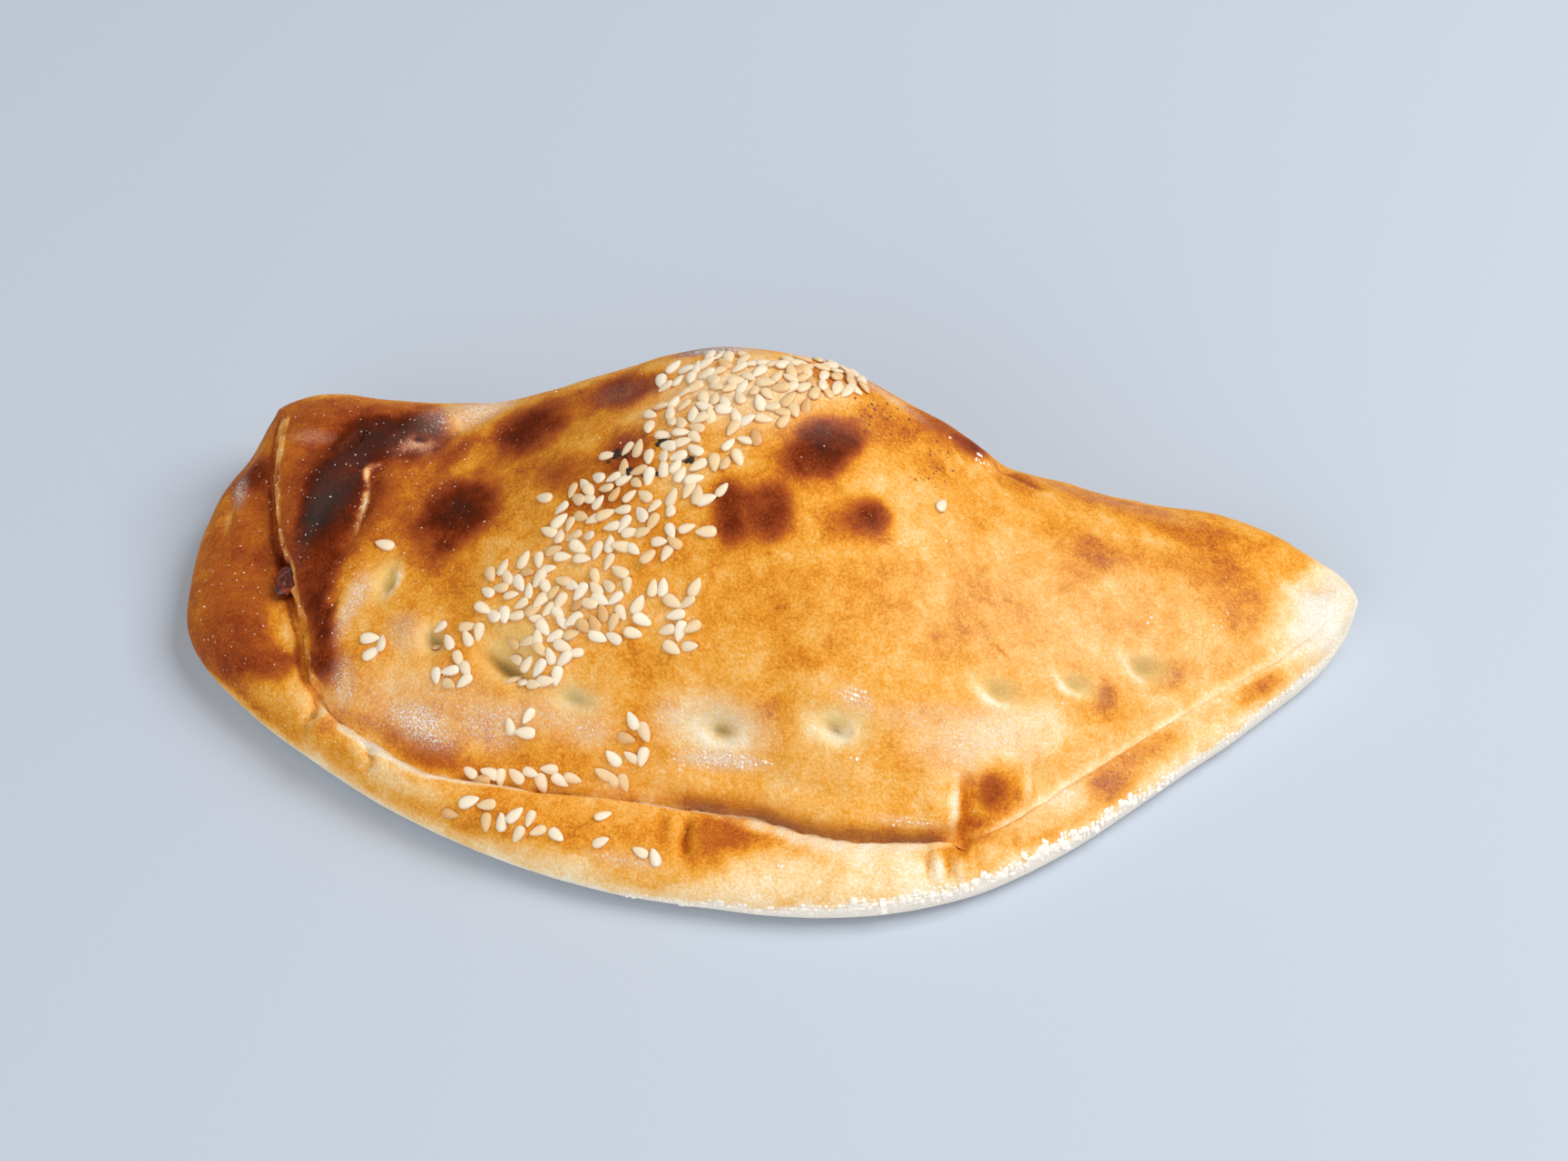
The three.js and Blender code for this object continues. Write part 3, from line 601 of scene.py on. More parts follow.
dough_points = points + normals * (push * ease(points[:, 2] / FLOOR_FADE))[:, None]
lowest, highest = dough_points.min(axis=0), dough_points.max(axis=0)
middle = (lowest + highest) / 2
middle[2] = 0
print("dough box, mm:", (highest - lowest).round(1), "middle:", middle.round(2))

# %% [markdown]
# ## Browning, flour and raw dough
# The oven has painted this object: cream where the dough stayed pale, gold over most of it, orange-brown
# on the left end and nearly black on the ridge beside it. One number per point, the browning, carries all
# of that, and a colour ramp in the material turns it into colour. The browning also holds painted shade in
# creases and under edges, and painted light on the lit sides of dimples. Further numbers say where flour
# lies or is speckled, where the dough stayed raw, where grey-brown shade is painted along the seam, and
# where a pit is darkened with painted shade. A little of the flour is painted highlight. All are stored on
# the mesh as attributes, so they ride with it and need no unwrapping.

# %% Lists of toned areas
BASE_TONE = 0.4
# Broad areas first, then blisters, then pale places, each laid over what came before.
TONES = [
    # x, y, half length, half width, turn in degrees, browning
    (52, 11, 37, 16.5, 9, 0.37),
    (64, 2, 21, 4.5, 33, 0.29),
    (40.4, 11.4, 4.5, 3.2, 60, 0.37),
    (44.6, 4.0, 5.0, 3.4, 40, 0.31),
    (53.7, 18.2, 5.0, 3.0, 20, 0.34),
    (61.3, 12.3, 5.5, 3.0, 20, 0.31),
    (67.8, 12.9, 5.0, 2.8, 40, 0.31),
    (53.0, 5.3, 5.0, 2.6, 20, 0.31),
    (34.1, -1.4, 5.0, 3.4, 60, 0.48),
    (48.6, 14.1, 4.0, 2.6, 70, 0.46),
    (61.3, 25.5, 6.0, 3.0, 10, 0.5),
    (44, 14, 11, 6, 84, 0.42),
    (25, -2, 8, 5, 20, 0.36),
    (27, 10, 9, 6, 40, 0.31),
    # pale crust with a painted highlight of the sheen at the right front
    (42.7, -12.9, 12, 4.5, 24, 0.2),
    (37.1, 5.5, 8, 3.2, 87, 0.42),
    (-6, 23, 18, 8, 0, 0.21),
    (-16, 8, 13, 7, -10, 0.31),
    (-22, -7, 15, 8, -8, 0.34),
    (22, -24, 18, 5, 0, 0.38),
    (1, -23.4, 8, 4.4, 1, 0.3),
    (-52, 4, 14, 9, -67, 0.53),
    (-58, 12, 16, 6.5, 84, 0.57),
    (-71.4, 28.7, 14, 8, 3, 0.74),
    (-82, 2, 32, 13, -80, 0.69),
    (-83.9, 10, 5, 3.6, -26, 0.62),
    (-78, -11, 9, 5, -40, 0.72),
    (-74.1, -17.1, 7.5, 3.0, 14, 0.75),
    (-86, 20.4, 4.0, 3.0, 33, 0.82),
    (-77, -19.6, 10.5, 2.8, 11, 0.62),
    (-78, -22, 9, 1.8, 14, 0.54),
    (-65, -26, 13, 2.5, -14, 0.42),
    (-76.7, 15.5, 13, 3.4, -77, 0.68),
    (-69, 11, 19, 8.6, 80, 0.77),
    (-66, 24, 12, 7.5, 25, 0.78),
    (-68.3, 20.9, 7.6, 4.4, 81, 0.97),
    (-70.7, 10.4, 8.6, 4.0, -82, 0.97),
    (-62.8, 25.8, 8.4, 4.4, 8, 0.95),
    (-68.5, -1, 6.4, 3.6, 88, 0.85),
    (-65.6, -10.6, 10, 3.0, -66, 0.84),
    (-63.9, -17.5, 3.4, 2.6, -13, 0.82),
    (-47.1, 7.8, 9.4, 8.2, 72, 0.69),
    (-47.6, 8.3, 6.6, 5.8, 89, 0.92),
    (-39.5, 24.6, 10, 7.2, -4, 0.66),
    (-39.9, 25, 6.8, 5.2, -4, 0.89),
    (-51.9, 22.4, 4.3, 2.1, 67, 0.72),
    (-26, 27.2, 10, 5, -2, 0.66),
    (-25.5, 27.4, 6.2, 3.4, -2, 0.81),
    (-31.8, 12.6, 7, 4.6, -11, 0.7),
    (-21.5, 12.2, 7.2, 4.8, -46, 0.71),
    (-23, 5, 7.6, 3.4, 9, 0.61),
    (-10, -4, 3.7, 2.3, 4, 0.47),
    (8.7, 14.8, 8, 6, 60, 0.66),
    (9.3, 14.8, 5.2, 4, 66, 0.88),
    (12.4, 19.3, 3.8, 2.7, 66, 0.85),
    (6, 11.2, 3.2, 2.8, 1, 0.8),
    (0.6, 2.6, 7.6, 5.8, -5, 0.68),
    (-3, 2.5, 5, 2.5, -77, 0.84),
    (4, 3.3, 4.2, 3, -78, 0.84),
    (0.6, 3.0, 2.4, 1.8, -77, 0.75),
    (16.1, 5.8, 6, 4.3, 16, 0.69),
    (17.5, 6.9, 3.4, 2.8, 20, 0.83),
    (7, -6, 9.6, 4.8, 1, 0.49),
    (19, -4, 8.6, 6.2, 28, 0.47),
    (12, -13.8, 4.6, 2.7, 24, 0.5),
    (-14, 34.3, 5.5, 2.2, -8, 0.86),
    (8.5, 31, 8, 3.4, 25, 0.56),
    (24, 33, 9, 4.5, 67, 0.66),
    (29.5, 33.5, 4.5, 2.8, 60, 0.8),
    (16.5, 25.5, 6.5, 4, 40, 0.55),
    (37, 31.5, 4, 3.4, 37, 0.56),
    (37.4, 34.2, 4.2, 2.0, -8, 0.8),
    (25, 23, 3.2, 2.2, 60, 0.55),
    (50.5, 36, 14.5, 3, 8, 0.58),
    (51.5, 23.1, 3.9, 2.8, -19, 0.54),
    (66, 35, 15, 3, 14, 0.55),
    (70.1, 26.2, 9.4, 5.6, 11, 0.54),
    (75.3, 21.3, 3.4, 2.6, 18, 0.52),
    (81, 37, 4.1, 3.4, 18, 0.46),
    (32.3, -6.7, 4.4, 2.6, 12, 0.47),
    (56.6, -0.2, 3, 2.3, 84, 0.46),
    (56.3, 0.5, 2.8, 2.0, 84, 0.68),
    (57.5, -1.6, 1.3, 1.1, 20, 0.52),
    (65, 8.3, 3.4, 2.6, 41, 0.52),
    (64.9, 8, 2.8, 2.2, 41, 0.66),
    (8.4, -19.8, 2.6, 1.9, 10, 0.52),
    (44, -20.4, 5.4, 5.0, -28, 0.5),
    (45.4, -19.4, 4.0, 3.4, 4, 0.6),
    (42.5, -20.2, 2.6, 2.3, -82, 0.74),
    (42, -25.1, 3.2, 2.7, -5, 0.6),
    (53, -17, 10, 3, 47, 0.2),
    (70, 3, 8, 2.6, 50, 0.27),
    (59.5, -10.8, 4.4, 2.8, 59, 0.6),
    (64.5, -2.4, 7.6, 2.3, 54, 0.5),
    (80, 13, 5.8, 3.0, 53, 0.52),
    (4.6, -36.4, 6.2, 5.2, 11, 0.64),
    (-4.8, -36.3, 3.2, 1.6, -77, 0.57),
    (-20, -38.5, 14, 4, -3, 0.49),
    (-45, -29, 11.5, 2.2, -13, 0.62),
    (-43, -30.6, 6.6, 1.6, -8, 0.66),
    (-60.3, -27.6, 1.8, 1.6, -4, 0.6),
    (-63.2, -25.4, 2.6, 0.9, 30, 0.22),
    (-54.6, -30.2, 2.4, 1.4, -20, 0.27),
    (-56, -31, 5.2, 2.5, -10, 0.46),
    (14, -39.5, 9, 3, 4, 0.2),
    (27, -34.5, 9.5, 2.6, -4, 0.14),
    (29, -37, 11, 4, 6, 0.15),
    (43.9, -30.2, 6, 2, 34, 0.33),
    (-46.5, -34, 6.9, 2, -13, 0.22),
    (-21.5, -42.3, 10, 1.6, -2, 0.24),
    (88, 31, 12, 6.4, 68, 0.0),
    (37.6, -24.4, 4, 1.3, -81, 0.1),
    (47.6, -16.6, 3, 1.2, -79, 0.2),
    (-72.4, -8.2, 4.6, 2.6, -60, 0.46),
    (-71, -9.6, 3.8, 1.5, -65, 0.33),
    (-75.8, 3, 2.4, 1.2, -60, 0.9),
    (9, -43, 11, 2.4, 2, 0.14),
]
FLOUR_PATCHES = [
    # x, y, half length, half width, turn in degrees, thickness from 0 to 1
    (-61.3, -8.7, 6, 1.5, 86, 0.55),
    (-60.4, -6.4, 3.6, 2.1, 80, 0.6),
    (-50.3, -13.4, 3.9, 3.2, -39, 0.42),
    (-58.7, -20.8, 5, 2.4, -72, 0.5),
    (-46, -24, 16, 6, 0, 0.34),
    (-44.8, -26.3, 6.6, 3.4, -12, 0.72),
    (-34, -25.6, 7.6, 4, 8, 0.52),
    (-25, -24, 9, 3.8, 8, 0.42),
    (-18.6, -24.7, 3.8, 3, 11, 0.46),
    (1, -22.7, 8.8, 5, 1, 0.52),
    (2, -25.6, 6.6, 1.4, 5, 0.8),
    (-6, -22.4, 3.4, 3, 0, 0.5),
    (18.6, -20.5, 6, 3.6, 0, 0.2),
    (21, -17, 3.5, 1.9, -21, 0.5),
    # partly flour, partly a painted highlight of the sheen at the right front
    (41, -14.3, 12.4, 5.5, 24, 0.52),
    (31.3, -15.8, 8.5, 2.7, 11, 0.38),
    (31, -27.4, 6, 0.9, -1, 0.4),
    (-51.4, 34.3, 9.1, 4.9, 35, 0.65),
    (-58.5, 27.5, 6, 2, 34, 0.12),
    (-12, 34.3, 7.5, 2.6, -6, 0.75),
    (-26, 27.4, 5, 2.4, -2, 0.16),
    (14, 33, 8, 1.8, 2, 0.5),
    (52, 9, 34, 14, 14, 0.22),
    (-6, 22, 17, 7.5, 0, 0.26),
    (52, 37, 14, 3, 8, 0.2),
    (-77.3, 24.3, 3.6, 1.3, 4, 0.25),
    # a thin veil of flour colour painted as the grey sheen on the char ridge
    (-72, 9, 9, 1.8, 84, 0.06),
    (-88.4, 17.2, 3.6, 1.5, -70, 0.6),
    (56, -13, 18, 4, 49, 0.22),
    (88.5, 31.5, 10, 5.6, 68, 0.95),
    (-9, -42, 5.5, 1.1, -1, 0.5),
]
SCRAPES = [
    # half width, browning, flour, places along it: thin lines where the skin is scraped or cracked
    (
        0.45,
        0.1,
        0.6,
        [(-64.1, 19.3), (-66.0, 18.3), (-65.2, 15.1), (-64.8, 11.5), (-64.8, 8.5), (-64.4, 5.5)],
    ),
    (1.7, 0.56, 0.5, [(-62.0, 22.6), (-60.6, 23.6), (-59.2, 24.5), (-57.7, 23.9), (-56.1, 22.8)]),
    (0.6, 0.42, 0.2, [(-89.3, 15.5), (-88.9, 12.8), (-88.4, 9.5)]),
    (0.3, 0.55, 0.0, [(67.6, 40.3), (70.0, 38.4), (73.1, 37.4), (76.7, 37.7)]),
    (0.3, 0.54, 0.0, [(38.2, -1.2), (40.1, -1.2), (41.8, -1.5)]),
]
print("toned areas:", len(TONES), "patches of flour:", len(FLOUR_PATCHES), "scrapes:", len(SCRAPES))

# %% Lay the tones on the dough
COVER_REACH = 1.45  # how far from its middle an oval's tone reaches, in half sizes
COVER_FULLNESS = 2.3  # over 1 keeps the tone full further from the middle
COVER_SOFTNESS = 1.6  # over 1 fades it out more softly at the end
TONE_WANDER = 0.05
ragged = roughened(0, middle=0.16, small=0.1, tiny=0.05)


def cover(x, y, along, across, turn):
    """How much of an oval's tone each point takes: full in the middle, fading past its outline."""
    away = np.clip((oval(x, y, along, across, turn) + ragged) / COVER_REACH, 0, 1)
    return (1 - away**COVER_FULLNESS) ** COVER_SOFTNESS


def coated(tones, coats):
    """Tones after each coat is laid over them: its tone, how strong it is, and where."""
    for tone, strength, where in coats:
        tones = mix(tones, tone, strength * where)
    return tones


def thickest(layer, rows):
    """A layer, or each row's thickness where that is more."""
    for thickness, where in rows:
        layer = np.maximum(layer, thickness * where)
    return layer


browning = BASE_TONE + TONE_WANDER * large_noise
browning = coated(browning, ((tone, 1.0, cover(*spot)) for *spot, tone in TONES))
flour = thickest(np.zeros(len(points)), ((thick, cover(*spot)) for *spot, thick in FLOUR_PATCHES))
for width, tone, thick, places in SCRAPES:
    scraped = strip(width, places) * patchy(1.0, small=0.6, tiny=0.7)
    browning = coated(browning, [(tone, 1.0, scraped)])
    flour = thickest(flour, [(thick, scraped)])
print("browning from", browning.min().round(2), "to", browning.max().round(2))

# %% Dimples and creases
# The pressed floors of the dimples stayed raw, and so did the hollow beside the right blister of the foot.
RAW_PATCHES = [
    # x, y, half length, half width, turn in degrees, how raw
    (49.8, -14.2, 2.4, 1.7, -79, 0.75),
    (-32.0, -15.6, 4.6, 3.4, -30, 0.7),
    (-56.6, -3.6, 3.4, 2.3, -85, 0.8),
]
BARE_BLISTER = (43.4, -18.6, 4.4, 3.6, -83)  # the blister of the foot that has no flour on it
PIT_BARENESS = 0.75  # how much of the flour is missing in a pit
HIGHLIGHT_HIDES = 0.8  # how much of what is raw or dark a pale wall hides
CREASE_SHADE_TONE = 0.68
CREASE_SHADING = (0.42, 0.1, 0.65)  # painted shade per millimetre of depth, less a start, and the most

raw = thickest(dish, ((rawness, cover(*spot)) for *spot, rawness in RAW_PATCHES))
# Dimple floors stay pale with raw dough; the walls get painted light: pale tone and flour colour.
browning = coated(browning, [(0.16, 0.75, dish), (0.0, 0.9, wall_highlight)])
flour = flour * (1 - PIT_BARENESS * pit) * (1 - cover(*BARE_BLISTER))
flour = thickest(flour, [(0.3, wall_highlight)])
raw = raw * (1 - HIGHLIGHT_HIDES * wall_highlight)
pit = pit * (1 - HIGHLIGHT_HIDES * wall_highlight)
# Creases of the rim get brown painted shade, darkest at their bottoms.
gain, start, most = CREASE_SHADING
deep = np.clip(gain * creased - start, 0, most)
browning = np.maximum(browning, coated(browning, [(CREASE_SHADE_TONE, 1.0, deep)]))
print("raw points:", (raw > 0.5).sum(), "pit points:", (pit > 0.5).sum())

# %% Tones along the seam
LIP_STARTS = (-2.6, -5.0)  # where the pale lip of the rim starts before the seam: narrow, wide
LIP_END = -0.2
LIP_FADES = (0.9, 2.2)
uneven_seam = roughened(seam_away, middle=0.5, small=0.3, tiny=0.2)
uneven_crest = crest_away + uneven_seam - seam_away

# Under the overhang the top sheet is browned and has painted shade. The rim's inner edge is a pale, fuzzy
# lip.
foot = band(uneven_seam, 0.4, 3.6, 2.8) * overhang * patchy(0.85, middle=0.6)
lip_line = band(uneven_seam, mix(*LIP_STARTS, wide_lip), LIP_END, mix(*LIP_FADES, wide_lip)) * sealed
lip_line *= patchy(0.85, middle=0.8, small=0.5)
# At the right the seam is a soft pale valley.
valley = pressed * band(uneven_seam, -1.4, 2.0, 1.8)
# At the left end a golden line of crumb shows along the crest of the top sheet's edge.
# Below it, in the crease beside the step, a dark shadow is painted.
step_shadow = stepped * band(seam_away, -2.0, -1.0, 0.8)
step_line = band(uneven_crest, -1.2, 0.9, 0.7) * stepped * patchy(0.8, small=0.6, tiny=0.7)
SEAM_COATS = [
    # browning or painted shade, how strong it is, and where
    # the foot under the overhang: browning together with painted shade
    (0.62, 0.85, foot),
    (0.1, 0.85, lip_line),
    (0.12, 0.85, valley),
    # painted shadow in the crease under the step
    (0.82, 0.6, step_shadow),
    (0.4, 0.85, step_line),
]
SEAM_FLOUR = [
    # thickness, and where
    (0.45, lip_line),
    (0.2, band(seam_away, -0.6, 2.0, 1.2) * overhang),
    (0.25, step_line),
]
# Grey-brown shade is painted under the overhang and along the seam on both sides of it.
SEAM_SHADES = [
    # how dark the painted shade is, and where
    (0.5, foot),
    (0.35, pressed * band(roughened(seam_away, small=0.3), -0.3, 0.3, 0.3)),
    (0.4, pressed_flat * band(uneven_seam, -1.2, 0.7, 0.8)),
]
browning = coated(browning, SEAM_COATS)
flour = thickest(flour, SEAM_FLOUR)
dull = thickest(np.zeros(len(points)), SEAM_SHADES)
print("points of the pale lip:", (lip_line > 0.5).sum(), "of the browned foot:", (foot > 0.5).sum())

# %% The white edge and the specks of flour
# The rim pales towards the outline. Its lowest band is white with flour, widest at the right front.
WHITE_BAND = [
    # share of the way round the front, width of the band above the outline
    (0.0, 1.7),
    (0.11, 1.4),
    (0.22, 1.3),
    (0.3, 1.7),
    (0.35, 1.9),
    (0.4, 0.8),
    (0.45, 0.0),
    (0.5, -0.6),
    (0.56, -0.8),
    (0.7, -1.5),
    (0.85, -4.0),
    (1.0, -7.0),
]
PALING = 3.2  # how far the rim pales above the white band
WHITE_FADE = 0.9  # how soft the upper edge of the white band is
BACK_WHITE = 4.5  # height of the white band behind
BACK_STRAY = 1.5  # how far that height strays
BACK_FADE = 3.0
BACK_PALING = 9.0
SPECKS_LEAST = 0.35  # size of the flour specks at the right, as a share of those on the dark left end
SPECKS_START = (-35.0, 20.0)  # where they begin to grow, in x, and over what distance

white_width = np.interp(front_share, *zip(*WHITE_BAND))
behind = front_share < 0
back_height = points[:, 2] - BACK_WHITE + BACK_STRAY * large_noise
from_white = np.where(behind, back_height, edge_away - white_width)
uneven_white = roughened(from_white, middle=0.5, small=0.45, tiny=0.35)
white = ease(0.5 - uneven_white / np.where(behind, BACK_FADE, WHITE_FADE))
paling = ease(roughened(1, middle=0.4) - from_white / np.where(behind, BACK_PALING, PALING))
browning = coated(browning, [(0.1, 0.8, paling), (0.02, 1.0, white)])
flour = thickest(flour, [(1.0, white)])
grow_from, grow_over = SPECKS_START
specks = mix(SPECKS_LEAST, 1, ease((grow_from - points[:, 0]) / grow_over))
print("browning from", browning.min().round(2), "to", browning.max().round(2))

# %% The dough mesh


def new_object(name, data):
    """A new object in the scene, at the origin."""
    made = bpy.data.objects.new(name, data)
    bpy.context.scene.collection.objects.link(made)
    return made


def store(mesh, **columns):
    """Puts a number or a vector for each point on a mesh, under the name of each column."""
    for label, values in columns.items():
        values = np.array(values, np.float32)
        kind, field = ("FLOAT_VECTOR", "vector") if values.ndim == 2 else ("FLOAT", "value")
        mesh.attributes.new(label, kind, "POINT").data.foreach_set(field, values.ravel())


dough_mesh = bpy.data.meshes.new("dough")
dough_mesh.from_pydata(((dough_points - middle) * MM).tolist(), [], faces.tolist())
dough_mesh.polygons.foreach_set("use_smooth", np.ones(len(faces), bool))
store(dough_mesh, browning=browning, flour=flour, raw=raw, pit=pit, dull=dull, specks=specks)
dough = new_object("dough", dough_mesh)
print("dough mesh:", len(dough_mesh.polygons), "faces")

# %% [markdown]
# ## The crust's finish
# Bread crust is matt, with a mottling of gold and orange-brown in soft patches, finer streaks inside them,
# and a dust of flour that catches on every bump. A painted picture could show that, but it would need
# unwrapping and could not be tuned. So the colour comes from one ramp over the browning: pale, gold, brown
# and burnt shades always follow each other in the right order, and four sizes of noise move along it. Only
# the darkest char has a thin gloss.

# %% Colours


def linear(red, green, blue):
    """A colour from screen values of 0 to 255 to the linear values that shaders work in."""
    values = np.array([red, green, blue]) / 255
    return tuple(np.where(values <= 0.04045, values / 12.92, ((values + 0.055) / 1.055) ** 2.4)) + (1.0,)


CRUST_RAMP = [
    # browning, red, green, blue
    (0.0, 254, 243, 220),
    (0.12, 252, 222, 172),
    (0.24, 247, 199, 129),
    (0.34, 242, 179, 91),
    (0.44, 234, 158, 51),
    (0.54, 214, 131, 35),
    (0.64, 184, 97, 32),
    (0.74, 150, 66, 27),
    (0.84, 107, 38, 7),
    (0.93, 72, 27, 9),
    (1.0, 48, 28, 22),
]
RAW_COLOUR = linear(230, 200, 126)
# olive of raw dough, darkened with painted shade for the pits
PIT_SHADE_COLOUR = linear(140, 114, 58)
# grey-brown painted shade along the seam and under the overhang
SEAM_SHADE_COLOUR = linear(150, 112, 70)
FLOUR_COLOUR = linear(255, 246, 234)
print("crust tones:", len(CRUST_RAMP))

# %% Helpers for materials


class Shader:
    """A small helper that makes nodes and links in one material."""

    def __init__(self, tree):
        self.tree = tree

    def node(self, kind, **settings):
        made = self.tree.nodes.new(kind)
        for name, value in settings.items():
            setattr(made, name, value)
        return made

    def link(self, source, target):
        self.tree.links.new(source, target)

    def math(self, operation, first, second):
        made = self.node("ShaderNodeMath", operation=operation)
        for socket, value in zip(made.inputs, (first, second)):
            if isinstance(value, (int, float)):
                socket.default_value = value
            else:
                self.link(value, socket)
        return made.outputs[0]

    def scaled(self, value, amount):
        return self.math("MULTIPLY", value, amount)

    def total(self, first, *others):
        for other in others:
            first = self.math("ADD", first, other)
        return first

    def wobble(self, noise, amount):
        """Noise as a value on both sides of 0."""
        return self.scaled(self.math("SUBTRACT", noise, 0.5), amount)

    def bump(self, surface, height, strength, distance):
        made = self.node("ShaderNodeBump")
        made.inputs["Strength"].default_value = strength
        made.inputs["Distance"].default_value = distance
        self.link(height, made.inputs["Height"])
        self.link(made.outputs["Normal"], surface.inputs["Normal"])

    def noise(self, coordinates, scale, detail, distortion=0.0):
        made = self.node("ShaderNodeTexNoise")
        made.inputs["Scale"].default_value = scale
        made.inputs["Detail"].default_value = detail
        made.inputs["Distortion"].default_value = distortion
        self.link(coordinates, made.inputs["Vector"])
        return made.outputs["Fac"]

    def spread(self, value, low, high, bottom=0.0, top=1.0):
        made = self.node("ShaderNodeMapRange", interpolation_type="SMOOTHSTEP")
        for name, number in (("From Min", low), ("From Max", high), ("To Min", bottom), ("To Max", top)):
            made.inputs[name].default_value = number
        self.link(value, made.inputs["Value"])
        return made.outputs["Result"]

    def blend(self, share, first, second):
        made = self.node("ShaderNodeMix", data_type="RGBA")
        self.link(share, made.inputs["Factor"])
        # The two colours share one name, so they are picked by number.
        for index, value in ((6, first), (7, second)):
            if isinstance(value, tuple):
                made.inputs[index].default_value = value
            else:
                self.link(value, made.inputs[index])
        return made.outputs[2]

    def attribute(self, name):
        return self.node("ShaderNodeAttribute", attribute_name=name).outputs["Fac"]

    def ramp(self, value, stops):
        made = self.node("ShaderNodeValToRGB")
        elements = made.color_ramp.elements
        while len(elements) < len(stops):
            elements.new(0.5)
        for element, (position, *colour) in zip(elements, stops):
            element.position = position
            element.color = linear(*colour)
        self.link(value, made.inputs["Fac"])
        return made.outputs["Color"]


def new_material(name):
    """A material with its helper, its surface and the place of each point on the object."""
    material = bpy.data.materials.new(name)
    material.use_nodes = True
    shader = Shader(material.node_tree)
    surface = material.node_tree.nodes["Principled BSDF"]
    coordinates = shader.node("ShaderNodeTexCoord").outputs["Object"]
    return material, shader, surface, coordinates


print("helpers:", [name for name in vars(Shader) if not name.startswith("_")])

# %% Crust colour
GRAIN_WANDER = 0.42  # how far the finest grain moves the tone
GRAIN_DARKEST = 0.03  # it darkens no more than this, so most of it is pale
crust, s, surface, place = new_material("crust")
patches = s.noise(place, scale=110, detail=4)
mottling = s.noise(place, scale=380, detail=4, distortion=0.6)
fibres = s.noise(place, scale=1000, detail=3, distortion=2.2)
grain = s.noise(place, scale=2300, detail=2)
CRUST_WANDER = [(patches, 0.44), (mottling, 0.32), (fibres, 0.26)]  # how far each moves the tone
wander = s.total(*(s.wobble(source, amount) for source, amount in CRUST_WANDER))
finest = s.math("MINIMUM", s.wobble(grain, GRAIN_WANDER), GRAIN_DARKEST)
baked = s.attribute("browning")
even = s.spread(baked, low=0.48, high=0.68, bottom=1.0, top=0.5)  # well baked areas are more even
tone = s.total(baked, s.math("MULTIPLY", s.total(wander, finest), even))
colour = s.ramp(tone, CRUST_RAMP)
CRUST_LAYERS = [
    # attribute, how much of its colour shows at most, colour
    ("raw", 0.85, RAW_COLOUR),
    # the pits: raw olive darkened with painted shade
    ("pit", 0.68, PIT_SHADE_COLOUR),
    # painted shade along the seam and under the overhang
    ("dull", 1.0, SEAM_SHADE_COLOUR),
]
for name, share, shade in CRUST_LAYERS:
    colour = s.blend(s.scaled(s.attribute(name), share), colour, shade)
print("crust colour:", len(crust.node_tree.nodes), "nodes")

# %% Flour, gloss and fine relief of the crust
POWDER_GAIN = 1.25  # how quickly grains of powder join up as the flour gets thicker
VEIL_SHARE = 0.26  # how much an even film of flour hides besides
SPECK_SCALE = 1250
SPECK_REACH = 0.19
SPECK_SHARE = 0.6
dust = s.attribute("flour")
powder = s.spread(s.noise(place, scale=3200, detail=4), low=0.33, high=0.67)
thickness = s.total(s.math("SUBTRACT", powder, 1), s.scaled(dust, POWDER_GAIN))
grains = s.spread(thickness, low=0, high=0.75, bottom=0, top=0.62)
veil = s.total(grains, s.scaled(dust, VEIL_SHARE))
colour = s.blend(veil, colour, FLOUR_COLOUR)
cells = s.node("ShaderNodeTexVoronoi")
cells.inputs["Scale"].default_value = SPECK_SCALE
s.link(place, cells.inputs["Vector"])
chosen = s.node("ShaderNodeSeparateColor")
s.link(cells.outputs["Color"], chosen.inputs["Color"])
speck_chance = s.spread(chosen.outputs["Red"], low=0.45, high=1.0)
speck_size = s.scaled(s.math("MULTIPLY", speck_chance, s.attribute("specks")), SPECK_REACH)
speckled = s.math("LESS_THAN", cells.outputs["Distance"], speck_size)
colour = s.blend(s.scaled(speckled, SPECK_SHARE), colour, FLOUR_COLOUR)
s.link(colour, surface.inputs["Base Color"])
s.link(s.spread(veil, low=0, high=1, bottom=0.55, top=0.9), surface.inputs["Roughness"])
surface.inputs["Specular IOR Level"].default_value = 0.05
char_gloss = s.spread(baked, low=0.88, high=1.0, bottom=0, top=0.36)
s.link(char_gloss, surface.inputs["Coat Weight"])
surface.inputs["Coat Roughness"].default_value = 0.55
CRUST_RELIEF = [(grain, 0.5), (fibres, 0.5), (mottling, 0.8), (veil, 0.5)]  # share of the height of each
height = s.total(*(s.scaled(source, amount) for source, amount in CRUST_RELIEF))
s.bump(surface, height, strength=0.75, distance=0.4 * MM)
dough.data.materials.append(crust)
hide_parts("pastry")
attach(dough, "root")
print("crust material:", len(crust.node_tree.nodes), "nodes")

# %% [markdown]
# ## Sesame seeds
# A sesame seed is a flat drop about 3 mm long, ivory when raw and golden where the oven toasted it. A few
# hundred of them lie in a band over the crown. Geometry Nodes is made for this: one seed is drawn once, and a
# tree puts a copy on every point of a small cloud, turned flat to the dough. The points follow the same rule
# and the same run of random numbers as the packed model, so there is a seed wherever the solid has one. A
# second round adds seeds that the solid leaves out to stay light.

